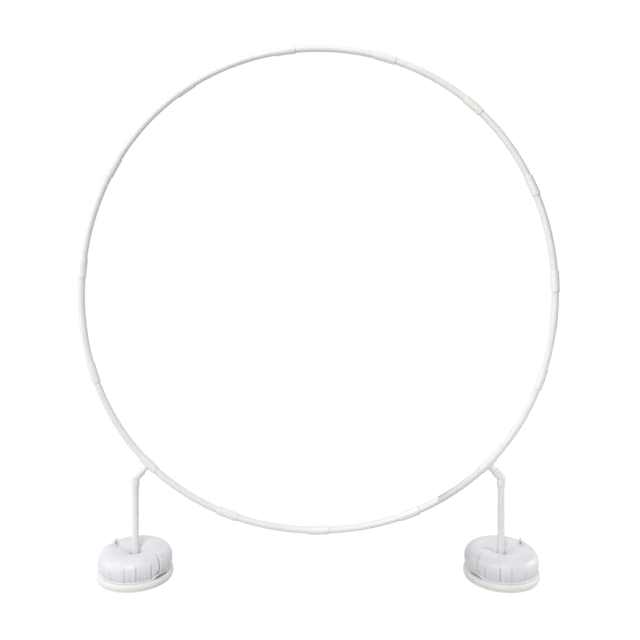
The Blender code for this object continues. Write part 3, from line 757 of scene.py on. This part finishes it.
class ARCH_OT_elbows(bpy.types.Operator):
    """Make the two elbows between the tees and the posts"""
    bl_idname = "arch.elbows"
    bl_label = "Elbows"

    def execute(self, context):
        h, f = context.scene.arch_hoop, context.scene.arch_foot
        material = bpy.data.materials["moulded_white_pvc"]
        upper_bore, lower_bore = (d / 2 + h.fit_gap for d in (f.branch_diameter, f.post_diameter))
        upper, lower, through = upper_bore + h.sleeve_wall, lower_bore + h.sleeve_wall, f.elbow_bore / 2
        for word, side in SIDES:
            line, bend = elbow_line(word, side)
            corners = [(-bend, upper, 0), (bend, lower, 0), *mouth(f.lower_arm, lower, lower_bore),
                       (bend, lower_bore, 0), (bend, through, 0), (-bend, through, 0),
                       (-bend, upper_bore, 0), *reversed(mouth(-f.upper_arm, upper, upper_bore))]
            elbow = piece_from_grids("elbow_fitting_" + word,
                                     [carried(eased(corners, longest=0.0016), line, sides=56)],
                                     material)
            dress(elbow, "foot_" + word, "fitting_pvc", "elbow_" + word)
        return {"FINISHED"}


class ARCH_OT_posts(bpy.types.Operator):
    """Make the two posts"""
    bl_idname = "arch.posts"
    bl_label = "Posts"

    def execute(self, context):
        f = context.scene.arch_foot
        material = bpy.data.materials["extruded_white_pvc"]
        for word, _ in SIDES:
            low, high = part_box("post_" + word)
            corners = tube_corners(low.z, high.z, f.post_diameter, f.post_wall)
            middle = joint_place("foot_swivel_" + word)
            tube = turned(corners, middle, longest=0.02, sides=48, steps=2)
            post = piece_from_grids("post_tube_" + word, [tube], material)
            dress(post, "foot_" + word, "tube_pvc", "post_" + word)
        return {"FINISHED"}


# ---- base ---------------------------------------------------------------------------------------
class ARCH_OT_bases(bpy.types.Operator):
    """Make the two moulded bases: a ribbed disc on a foot ring, with a boss for the post"""
    bl_idname = "arch.bases"
    bl_label = "Bases"

    def execute(self, context):
        h, f = context.scene.arch_hoop, context.scene.arch_foot
        material = moulded_polypropylene("moulded_ivory_polypropylene",
                                         context.scene.arch_colours.base)
        bore = f.post_diameter / 2 + h.fit_gap
        boss = bore + f.boss_wall
        under = f.base_height - f.base_wall
        ribs_top = under + f.rib_bite
        for word, _ in SIDES:
            low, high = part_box("base_" + word)
            side = (high.x - low.x) / 2
            ring = side - f.base_step
            inner = ring - f.foot_ring
            corners = [(f.socket_floor, 0.0, 0), (f.socket_floor, bore, 0), (f.boss_top, bore, 0.0005),
                       (f.boss_top, boss, 0.0009), (f.base_height, boss, f.boss_fillet),
                       (f.base_height, side, f.base_edge), (f.step_height + f.base_step, side, 0.0014),
                       (f.step_height, ring, 0.0012), (0.0, ring, 0.0006), (0.0, inner, 0.0006),
                       (under, inner, 0.0012), (under, boss, 0.0012), (0.0, boss, 0.0006),
                       (0.0, 0.0, 0)]
            middle = joint_place("foot_swivel_" + word)
            grids = [turned(corners, middle, longest=0.006, sides=128, steps=7)]
            middle[2] = (f.rib_clearance + ribs_top) / 2
            for index in range(f.rib_count):
                heading = 2 * pi * (index + 0.5) / f.rib_count
                out = np.array((cos(heading), sin(heading), 0.0))
                across = np.array((-out[1], out[0], 0.0)) * f.rib_thickness
                start, end = middle + out * (boss - f.rib_bite), middle + out * (inner + f.rib_bite)
                grids.append(bar(start, end, across, ribs_top - f.rib_clearance, rounding=8.0,
                                 sides=32, offset=0.0, end_share=1.0))
            base = piece_from_grids("moulded_base_" + word, grids, material)
            dress(base, "base_" + word, "base_plastic", "base_" + word)
        return {"FINISHED"}


# ---- water bag ----------------------------------------------------------------------------------
# Creases in the side wall: degrees from the front towards the hoop's middle, depth and half width
# in millimetres, and how far up the section they run, as a turn in degrees over the widest part.
CREASES = ((-166, 4.0, 1.7, 24), (-149, 2.6, 1.9, 12), (-131, 4.2, 1.6, 28), (-112, 3.0, 1.8, 16),
           (-93, 4.0, 1.6, 22), (-74, 2.4, 2.0, 10), (-58, 3.6, 1.7, 18), (-41, 2.4, 2.0, 8),
           (-27, 3.0, 1.8, 12), (-3, 3.8, 1.7, 36), (6, 2.0, 1.2, 8), (15, 4.9, 1.6, 40),
           (21, 2.4, 1.2, 20), (26, 2.4, 1.1, 32), (32, 2.8, 1.2, 18), (39, 5.5, 1.6, 34),
           (44, 2.4, 1.1, 26), (48, 2.2, 1.1, 18), (63, 3.8, 1.3, 26), (69, 3.2, 1.2, 34),
           (75, 3.8, 1.3, 24), (81, 3.2, 1.2, 30), (88, 3.8, 1.4, 20), (97, 2.6, 1.8, 12),
           (110, 4.0, 1.6, 26), (128, 3.0, 1.9, 14), (145, 4.4, 1.6, 28), (163, 2.8, 1.8, 14),
           (178, 3.8, 1.7, 22))
# The overlap, where the film is welded end to end: heading at the widest part, how far the
# heading turns on up the section (a share of the turn), depth, the half widths of its steep side
# and of its gentle one, and top.
OVERLAP = (53.0, 0.05, 12.0, 1.0, 4.6, 100)
RIDGE = (0.8, 9.5, 3.5)       # beside the overlap: height, distance and half width, millimetres
LIFTED = (57.0, 13.0)         # edge that stands off the base: heading and half width, degrees
WELD_FADE = (-70, -45)        # turns, in degrees, between which the creases leave the weld
CREASE_END = (6, -20)         # from a crease's top: where it has gone, and where it is whole
OVERLAP_END = 55              # degrees below its top, where the overlap is whole
DARKEST_CREASE_SHADE = 0.011          # crease depth at which the painted shade in the creases is at its darkest
# The film as a cloth: light, stretchy, slowed by the air and pressed out by the water.
FILM_CLOTH = {"quality": 4, "mass": 0.25, "tension_stiffness": 30, "compression_stiffness": 30,
              "shear_stiffness": 12, "bending_stiffness": 0.4, "air_damping": 2.0,
              "vertex_group_mass": "held", "pin_stiffness": 1.0, "use_pressure": True,
              "uniform_pressure_force": 4.0}
LAST_CLOTH_FRAME = 20


def bag_section(turn):
    """Radius and height of the bag's skin at a turn round its section.

    The section is an oval whose cosine and sine are raised to powers under one, which fills its
    corners; its underside is pressed flat, and its top falls to the post by the dish times a
    power of the share of the way in.
    """
    b = bpy.context.scene.arch_bag
    inner, outer = b.hole / 2, b.diameter / 2
    on_lip = (np.cos(turn) < 0) & (np.sin(turn) > 0)
    corner = np.where(np.sin(turn) < 0, b.foot_fullness, b.side_fullness)
    sideways = filled_out(np.cos(turn), np.where(on_lip, b.lip_fullness, corner))
    upwards = filled_out(np.sin(turn), np.where(on_lip, b.lip_fullness, b.crown_fullness))
    half = (b.crown - b.bottom + b.pressed) / 2
    radius = (outer + inner) / 2 + (outer - inner) / 2 * sideways
    inwards = rising(radius, b.dish_radius, inner) ** b.dish_steepening
    height = b.crown - half + half * upwards - b.dish * inwards * np.clip(upwards, 0, None)
    return radius, np.maximum(height, b.bottom)


def spaced_turns(columns):
    """Turns spaced by length along the section, two and a half times as close on the wall."""
    dense = np.linspace(-pi, pi, 4001)
    radius, height = bag_section(dense)
    middle = np.degrees(dense[1:] + dense[:-1]) / 2
    share = np.where(np.abs(middle + 5) < 50, 2.5, 1.0)
    steps = np.hypot(np.diff(radius), np.diff(height)) * share
    along = np.concatenate(([0.0], np.cumsum(steps)))
    return np.interp(np.arange(columns) / columns * along[-1], along, dense)


def ring_grid(rows, columns):
    """The bag's grid: azimuths from the front down its rows, turns along its columns."""
    return around(rows)[:, None], spaced_turns(columns)[None]


def about_post(azimuth, radius, height):
    """Points at a radius and height about the post's axis, by azimuth from the front."""
    return np.stack(np.broadcast_arrays(radius * np.sin(azimuth), -radius * np.cos(azimuth), height),
                    -1)


def beyond(azimuth, heading):
    """How far an azimuth lies past a heading, from minus half a turn to half a turn."""
    return np.remainder(azimuth - heading + pi, 2 * pi) - pi


def fold_depth(azimuth, turn, radius):
    """How far the creases draw the skin in: the sum of depth times e^(-distance / half width).

    The overlap is one such crease, steep where the smooth wall laps over it and gentle beyond,
    with a low ridge beside it, and it runs up over the shoulder.
    """
    degrees = np.degrees(turn)
    low_fade = rising(degrees, *WELD_FADE)
    depth = np.zeros(np.broadcast(azimuth, turn).shape)
    for heading, deep, wide, top in CREASES:
        away = np.abs(beyond(azimuth, radians(heading))) * radius
        fade = low_fade * rising(degrees, *(top + end for end in CREASE_END)) ** 1.2
        depth += deep / 1000 * fade * np.exp(-away / (wide / 1000))
    heading, turning, deep, steep, gentle, top = OVERLAP
    away = beyond(azimuth, radians(heading) + turning * np.clip(turn, -0.6, None)) * radius
    fade = low_fade * rising(degrees, top, top - OVERLAP_END) ** 1.3
    width = np.where(away > 0, gentle, steep) / 1000
    depth += deep / 1000 * fade * np.exp(-np.abs(away) / width)
    high, along, wide = (size / 1000 for size in RIDGE)
    return depth - high * fade * np.exp(-((away - along) / wide) ** 2)


def lifted_share(azimuth):
    """Where the welded edge stands off the base: e^-(angle / width)^4 beside the overlap."""
    heading, width = (radians(value) for value in LIFTED)
    return np.exp(-(beyond(azimuth, heading) / width) ** 4)


def bag_points(rows, columns):
    """The filled ring as a grid of azimuth from the front by turn, about the post's axis."""
    b = bpy.context.scene.arch_bag
    azimuth, turn = ring_grid(rows, columns)
    radius, height = bag_section(turn)
    inward = fold_depth(azimuth, turn, radius) + b.slack * np.clip(np.cos(turn), 0, None)
    radius = radius - inward * rising(np.cos(turn), -0.12, 0.18)
    height = height - inward * np.clip(np.sin(turn), 0, 1) * 0.8
    waves = np.cos(9 * azimuth + 1.7 * np.sin(2 * azimuth)) + 0.6 * np.cos(16 * azimuth + 2.0)
    near_hole = rising(radius, b.hole / 2 + b.pucker_reach, b.hole / 2)
    height = height + b.pucker * waves * near_hole * (np.sin(turn) > 0.2)
    return about_post(azimuth, radius, height)


def crease_shade_share(rows, columns):
    """How deep in a crease each point of the bag's grid lies, from 0 to 1, as a grain of x alone: the
    mask of the painted shade in the creases.
    """
    azimuth, turn = ring_grid(rows, columns)
    depth = fold_depth(azimuth, turn, bag_section(turn)[0])
    return rising(depth, 0, DARKEST_CREASE_SHADE)[..., None] ** 1.2 * (1.0, 0.0, 0.0)


def lifted(points):
    """Raise the underside beside the overlap, in full at the edge and less further in."""
    azimuth, turn = ring_grid(*points.shape[:2])
    degrees = np.degrees(turn)
    under = rising(degrees, -125, -80) * rising(degrees, 0, -30)
    points[..., 2] += bpy.context.scene.arch_bag.lift * lifted_share(azimuth) * under
    return points


def held_weights(points):
    """How firmly each point is held: the underside, the hole's rim and the creases' valleys."""
    b = bpy.context.scene.arch_bag
    radius = np.hypot(points[..., 0], points[..., 1])
    beside = (np.roll(radius, 1, axis=0) + np.roll(radius, -1, axis=0)) / 2
    underside = rising(points[..., 2], b.bottom + 0.004, b.bottom + 0.001)
    rim = rising(radius, b.hole / 2 + 0.006, b.hole / 2 + 0.002)
    valleys = rising(beside - radius, 0.0, 0.0012)
    return np.maximum(np.maximum(underside, rim), valleys).round(1)


def water_push(points):
    """How far the water presses the film out, from the cloth solver, and no further than a cap."""
    flat = points.reshape(-1, 3)
    mesh = bpy.data.meshes.new("bag_film")
    mesh.from_pydata(flat.tolist(), [], outward_faces(flat, *points.shape[:2]).tolist())
    film = bpy.data.objects.new("bag_film", mesh)
    scene = bpy.context.scene
    scene.collection.objects.link(film)
    weights = held_weights(points).ravel()
    held = film.vertex_groups.new(name="held")
    for weight in np.unique(weights[weights > 0]):
        held.add(np.flatnonzero(weights == weight).tolist(), float(weight), "REPLACE")
    cloth = film.modifiers.new("water", "CLOTH")
    for name, value in FILM_CLOTH.items():
        setattr(cloth.settings, name, value)
    cloth.settings.effector_weights.gravity = 0.0
    cloth.collision_settings.use_collision = False
    for frame_number in range(1, LAST_CLOTH_FRAME + 1):
        scene.frame_set(frame_number)
    settled = film.evaluated_get(bpy.context.evaluated_depsgraph_get())
    moved = np.empty(flat.size)
    settled.data.vertices.foreach_get("co", moved)
    scene.frame_set(1)
    bpy.data.objects.remove(film)
    step = moved.reshape(points.shape) - points
    size = np.linalg.norm(step, axis=-1, keepdims=True)
    return step * np.minimum(1.0, scene.arch_bag.most_push / np.maximum(size, 1e-9))


def spread(coarse, rows, columns):
    """Spread a field known at every few rows and columns over all of them, linearly."""
    for axis, parts in ((0, rows), (1, columns)):
        known = coarse.shape[axis]
        place = np.arange(parts) * known / parts
        before = place.astype(int)
        share = (place - before).reshape((-1, 1, 1) if axis == 0 else (1, -1, 1))
        first = np.take(coarse, before, axis)
        second = np.take(coarse, (before + 1) % known, axis)
        coarse = first * (1 - share) + second * share
    return coarse


def within(points):
    """Keep the film in its solid's reach, off the base and clear of the boss."""
    b = bpy.context.scene.arch_bag
    radius = np.hypot(points[..., 0], points[..., 1])
    scale = np.clip(radius, b.hole / 2, b.diameter / 2) / radius
    kept = points * np.stack((scale, scale, np.ones_like(scale)), -1)
    kept[..., 2] = np.clip(kept[..., 2], b.bottom, b.crown + 0.0005)
    return kept


def valve_seat(points, x, y):
    """Level the crown under the valve's flange, and blend it out over ten millimetres."""
    v = bpy.context.scene.arch_valve
    edge = v.flange_diameter / 2 + 0.0005
    away = np.hypot(points[..., 0] - x, points[..., 1] - y)
    share = rising(away, edge + 0.010, edge)
    on_crown = points[..., 2] > v.seat - 0.03
    share = share * share * (3 - 2 * share) * on_crown
    points[..., 2] += (v.seat - 0.0002 - points[..., 2]) * share
    return points


def flange_points(rows):
    """The film outside the weld: a thin strip that droops, and stands out beside the overlap.

    At each azimuth its section is a flat oval from the weld, whose width and slope follow
    smooth waves round the bag.
    """
    b = bpy.context.scene.arch_bag
    azimuth = around(rows)[:, None]
    share = lifted_share(azimuth)
    wave = np.sin(9 * azimuth + 1.3 * np.sin(2 * azimuth)) * 0.6 + 0.4 * np.sin(23 * azimuth)
    width = b.flange_width * (1 + 0.16 * wave) + b.lifted_width * share
    slope = 0.10 * wave - b.flange_droop * (1 - share) - b.lifted_droop * share
    turn = around(14)
    out, thick = width * (1 - np.cos(turn)) / 2, np.sin(turn) * b.film
    radius = b.weld_radius + 0.0004 * wave + out * np.cos(slope)
    height = b.bottom + b.weld_height + b.lift * share * 0.95 + out * np.sin(slope) + thick
    return about_post(azimuth, radius, np.maximum(height, b.bottom + thick + b.film - 0.0001))


class ARCH_OT_water_bags(bpy.types.Operator):
    """Make the two water bags, each pressed out by its water and welded round its edge"""
    bl_idname = "arch.water_bags"
    bl_label = "Water bags"

    def execute(self, context):
        material = calendered_film("calendered_white_pvc_film", context.scene.arch_colours.film)
        rows, columns = 840, 96
        points = bag_points(rows, columns)
        points = points + spread(water_push(points[::2, ::2]), rows, columns)
        points = lifted(within(points))
        hinge = joint_place("plug_flip_right") - joint_place("foot_swivel_right")
        points = valve_seat(points, context.scene.arch_valve.hinge_reach - hinge[0], hinge[1])
        flange = flange_points(rows)
        # Painted shade: how far the film's colour is darkened in each crease, carried in the grain
        # attribute.
        crease_shade = crease_shade_share(rows, columns)
        for word, side in SIDES:
            middle = joint_place("foot_swivel_" + word) * (1, 1, 0)
            facing = np.array((-side, 1.0, 1.0))
            grids = [(points * facing + middle, crease_shade),
                     (flange * facing + middle, np.zeros_like(flange))]
            bag = piece_from_grids("filled_bag_" + word, grids, material)
            dress(bag, "bag_" + word, "bag_film", "water_bag_" + word)
        return {"FINISHED"}


# ---- valve and stopper --------------------------------------------------------------------------
class ARCH_OT_valves(bpy.types.Operator):
    """Make the two filling valves, their check flaps and their stoppers"""
    bl_idname = "arch.valves"
    bl_label = "Valves and stoppers"

    def execute(self, context):
        v, colours = context.scene.arch_valve, context.scene.arch_colours
        clear = clear_soft_pvc("clear_bluish_pvc", colours.valve, 0.0, 0.2)
        tinted = clear_soft_pvc("clear_blue_pvc", colours.stopper, 0.15)
        # Partly painted shade: the navy flap is a part of its own and also darkens the bore as painted
        # shade.
        navy_flap_and_bore_shade = clear_soft_pvc("navy_soft_pvc", colours.flap, 0.0)
        for word, side in SIDES:
            hinge = joint_place("plug_flip_" + word)
            middle = hinge - np.array((side * v.hinge_reach, 0.0, 0.0))
            valve = piece_from_grids("filling_valve_" + word, self.valve(v, middle, hinge), clear)
            dress(valve, "bag_" + word, "valve_plastic", "valve_" + word)
            flap = piece_from_grids("check_flap_" + word, self.flap(v, middle), navy_flap_and_bore_shade)
            dress(flap, "bag_" + word, "valve_plastic")
            stopper = piece_from_grids("stopper_" + word, self.stopper(v, middle, hinge, side), tinted)
            dress(stopper, "plug_" + word, "valve_plastic", "valve_plug_" + word)
        return {"FINISHED"}

    def heights(self, v):
        """The heights of the flange's underside and top, and of the neck's mouth."""
        under = v.seat + v.gap
        return under, under + v.flange_thickness, under + v.flange_thickness + v.neck_height

    def valve(self, v, middle, hinge):
        """Flange, flared neck and blind bore in one turned shape, and the ear at the hinge."""
        seat, top, lip = self.heights(v)
        bore, neck, foot = v.bore / 2, v.bore / 2 + v.neck_wall, seat - v.neck_depth
        corners = [(foot + v.bore_floor, 0.0, 0), (foot + v.bore_floor, bore, 0), (lip, bore, 0.0004),
                   (lip, neck - v.neck_lead, 0.0006), (top, neck + v.neck_flare, 0.0022),
                   (top, v.flange_diameter / 2, 0.0007), (seat, v.flange_diameter / 2, 0.0005),
                   (seat, neck, 0.0004), (foot, neck, 0.0004), (foot, 0.0, 0)]
        near = (hinge[0], hinge[1], top - v.ear_bite)
        far = hinge - np.array((0.0, 0.0, v.strap_thickness + 2 * v.gap))
        return [turned(corners, middle),
                bar(near, far, (0.0, v.ear_width, 0.0), v.ear_thickness)]

    def flap(self, v, middle):
        """The check flap, a plug of dark film across the bore, which also darkens the bore as painted
        shade.
        """
        seat, radius = self.heights(v)[0], v.bore / 2 - v.gap
        low, high = seat + v.flap_bottom, seat + v.flap_top
        corners = [(low, 0.0, 0), (low, radius, 0.001), (high, radius, 0.001), (high, 0.0, 0)]
        return [turned(corners, middle)]

    def stopper(self, v, middle, hinge, side):
        """Stem and cone-shaped cap in one turned shape, the strap, and its round end."""
        low = self.heights(v)[2] + v.gap
        stem, cap = v.bore / 2 - v.gap, v.bore / 2 + v.neck_wall + v.cap_overhang
        tip, top = low - v.stem_length, low + v.cap_height
        corners = [(tip, 0.0, 0), (tip, stem - v.stem_taper, 0.0006), (low, stem, 0.0003),
                   (low, cap, 0.0004), (low + v.cap_rim, cap, 0.0006),
                   (top, cap - v.cap_narrowing, 0.0012), (top, 0.0, 0)]
        strap_height = low + v.strap_thickness / 2
        half = (v.strap_width / 2 + v.hinge_overhang) * ACROSS_Y
        return [turned(corners, middle),
                bar((middle[0] + side * stem, middle[1], strap_height),
                    (hinge[0], hinge[1], strap_height), (0.0, v.strap_width, 0.0), v.strap_thickness),
                bar(hinge - half, hinge + half, (v.hinge_diameter, 0.0, 0.0), v.hinge_diameter,
                    rounding=2.0)]


# ---- stage --------------------------------------------------------------------------------------
def seen_white(tree, shown, hidden):
    """Mix two shaders: the first where the view, a gloss or a clear piece looks at it."""
    path = add_node(tree, "ShaderNodeLightPath")
    most = path.outputs["Is Camera Ray"]
    for name in ("Is Glossy Ray", "Is Transmission Ray"):
        most = add_node(tree, "ShaderNodeMath", {"operation": "MAXIMUM"},
                        links={0: most, 1: path.outputs[name]}).outputs["Value"]
    mix = add_node(tree, "ShaderNodeMixShader", links={"Fac": most, 1: hidden, 2: shown})
    return mix.outputs["Shader"]


def emptied_nodes(owner):
    """The node tree of a material or a world, with nothing in it."""
    owner.use_nodes = True
    owner.node_tree.nodes.clear()
    return owner.node_tree


def stage_sheet(name, corners, material):
    """A flat sheet of the stage, from its four corners."""
    mesh = bpy.data.meshes.new(name)
    mesh.from_pydata(corners, [], [(0, 1, 2, 3)])
    mesh.materials.append(material)
    sheet = bpy.data.objects.new(name, mesh)
    bpy.context.scene.collection.objects.link(sheet)
    return sheet


class ARCH_OT_stage(bpy.types.Operator):
    """Make the floor, the studio light and the camera"""
    bl_idname = "arch.stage"
    bl_label = "Stage"

    def execute(self, context):
        scene, s = context.scene, context.scene.arch_stage
        self.make_floor(scene, s)
        self.make_world(scene, s)
        self.add_softbox("key_softbox", s.key, place=(-1.6, -6.9, 6.4), size=3.6)
        self.add_softbox("left_softbox", s.left, place=(-8.0, -1.5, 2.2), size=3.0)
        grid = self.add_softbox("right_softbox", s.right, place=(3.2, 0.25, 0.9), size=0.9,
                                aim=(0.68, 0.0, 0.1))
        grid.spread = s.right_spread
        self.add_softbox("back_softbox", s.back, place=(1.5, 7.0, 5.5), size=3.6)
        self.add_card("grey_card", s.card, place=0.44, half_depth=0.35, bottom=0.02, top=0.42)
        self.add_card("dark_card", s.dark_card, place=1.7, half_depth=1.4, bottom=0.65, top=2.5)
        self.make_camera(scene, s)
        scene.view_settings.view_transform = "Standard"
        return {"FINISHED"}

    def make_floor(self, scene, s):
        """A floor that the view sees white, with the stand's shadow, and the pieces see grey."""
        material = bpy.data.materials.new("studio_floor")
        tree = emptied_nodes(material)
        lit, softer = (add_node(tree, "ShaderNodeBsdfDiffuse", values={"Color": grey}).outputs["BSDF"]
                       for grey in (linear(scene.arch_colours.floor), (s.shadow,) * 3 + (1.0,)))
        place = add_node(tree, "ShaderNodeTexCoord").outputs["Object"]
        away = add_node(tree, "ShaderNodeVectorMath", {"operation": "LENGTH"}, links={0: place})
        white = add_node(tree, "ShaderNodeMapRange", links={"Value": away.outputs["Value"]},
                         values={"From Min": s.white_reach, "From Max": s.full_white,
                                 "To Min": s.white, "To Max": 1.0})
        glow = add_node(tree, "ShaderNodeEmission", links={"Strength": white.outputs["Result"]})
        both = add_node(tree, "ShaderNodeAddShader", links={0: softer, 1: glow.outputs["Emission"]})
        add_node(tree, "ShaderNodeOutputMaterial",
                 links={"Surface": seen_white(tree, both.outputs["Shader"], lit)})
        far = s.floor_reach
        stage_sheet("studio_floor", [(-far, -far, 0.0), (far, -far, 0.0), (far, far, 0.0),
                                     (-far, far, 0.0)], material)

    def add_card(self, name, grey, place, half_depth, bottom, top):
        """Stand a grey card across the X axis, which darkens the pieces' edges that face it.

        As with a lamp, no view shows it: it only takes the place of the bright studio there.
        """
        corners = [(place, -half_depth, bottom), (place, half_depth, bottom),
                   (place, half_depth, top), (place, -half_depth, top)]
        material = new_material(name, {"Base Color": (grey, grey, grey, 1.0), "Roughness": 1.0})[0]
        card = stage_sheet(name, corners, material)
        card.visible_camera = False
        card.visible_shadow = False

    def make_world(self, scene, s):
        """A white surround in the view, and for the pieces a grey one, brighter on the left."""
        scene.world = bpy.data.worlds.new("studio")
        tree = emptied_nodes(scene.world)
        direction = add_node(tree, "ShaderNodeTexCoord").outputs["Generated"]
        across = add_node(tree, "ShaderNodeSeparateXYZ", links={"Vector": direction})
        strength = add_node(tree, "ShaderNodeMapRange", links={"Value": across.outputs["X"]},
                            values={"From Min": -1.0, "From Max": 1.0,
                                    "To Min": s.fill * (1 + s.tilt), "To Max": s.fill * (1 - s.tilt)})
        plain = {"Color": (1.0, 1.0, 1.0, 1.0), "Strength": 1.0}
        white = add_node(tree, "ShaderNodeBackground", values=plain)
        fill = add_node(tree, "ShaderNodeBackground", values=plain,
                        links={"Strength": strength.outputs["Result"]})
        surface = seen_white(tree, white.outputs["Background"], fill.outputs["Background"])
        add_node(tree, "ShaderNodeOutputWorld", links={"Surface": surface})

    def add_softbox(self, name, power, place, size, aim=(0.0, 0.0, 0.9)):
        """A square lamp of so many metres and watts, turned to what it is aimed at."""
        light = bpy.data.lights.new(name, "AREA")
        light.shape = "SQUARE"
        light.size = size
        light.energy = power
        softbox = bpy.data.objects.new(name, light)
        softbox.location = place
        softbox.rotation_euler = (Vector(aim) - Vector(place)).to_track_quat("-Z", "Y").to_euler()
        bpy.context.scene.collection.objects.link(softbox)
        return light

    def make_camera(self, scene, s):
        """A camera level with the ground, whose shift frames the stand."""
        lens = bpy.data.cameras.new("photograph")
        lens.sensor_width = SENSOR_WIDTH
        lens.lens = s.distance / s.scale / IMAGE_WIDTH * SENSOR_WIDTH
        lens.shift_y = s.shift
        camera = bpy.data.objects.new("photograph", lens)
        camera.location = (s.sideways, -s.distance, s.height)
        camera.rotation_euler = (pi / 2, 0.0, 0.0)
        scene.collection.objects.link(camera)
        scene.camera = camera


class ARCH_PT_panel(bpy.types.Panel):
    """The stand's pieces and sizes"""
    bl_idname = "ARCH_PT_panel"
    bl_label = "Arch stand"
    bl_space_type = "VIEW_3D"
    bl_region_type = "UI"
    bl_category = "Arch stand"

    def draw(self, context):
        column = self.layout.column()
        for operator in OPERATORS:
            column.operator(operator.bl_idname)
        for name, group in GROUPS.items():
            box = self.layout.box()
            for key in group.__annotations__:
                box.prop(getattr(context.scene, name), key)


GROUPS = {"arch_hoop": HoopSizes, "arch_foot": FootSizes, "arch_bag": BagSizes,
          "arch_valve": ValveSizes, "arch_colours": Colours, "arch_stage": StageSettings}
OPERATORS = (ARCH_OT_hoop_tubes, ARCH_OT_couplings, ARCH_OT_tees, ARCH_OT_elbows, ARCH_OT_posts,
             ARCH_OT_bases, ARCH_OT_water_bags, ARCH_OT_valves, ARCH_OT_stage)


def register():
    """Register every class, and hang the groups on the scene."""
    for entry in (*GROUPS.values(), *OPERATORS, ARCH_PT_panel):
        bpy.utils.register_class(entry)
    for name, group in GROUPS.items():
        setattr(bpy.types.Scene, name, PointerProperty(type=group))


def unregister():
    """Take the groups and classes away again."""
    for name in GROUPS:
        delattr(bpy.types.Scene, name)
    for entry in reversed((*GROUPS.values(), *OPERATORS, ARCH_PT_panel)):
        bpy.utils.unregister_class(entry)


def main():
    """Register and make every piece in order."""
    register()
    for operator in OPERATORS:
        group, name = operator.bl_idname.split(".")
        getattr(getattr(bpy.ops, group), name)()


if __name__ == "__main__":
    main()
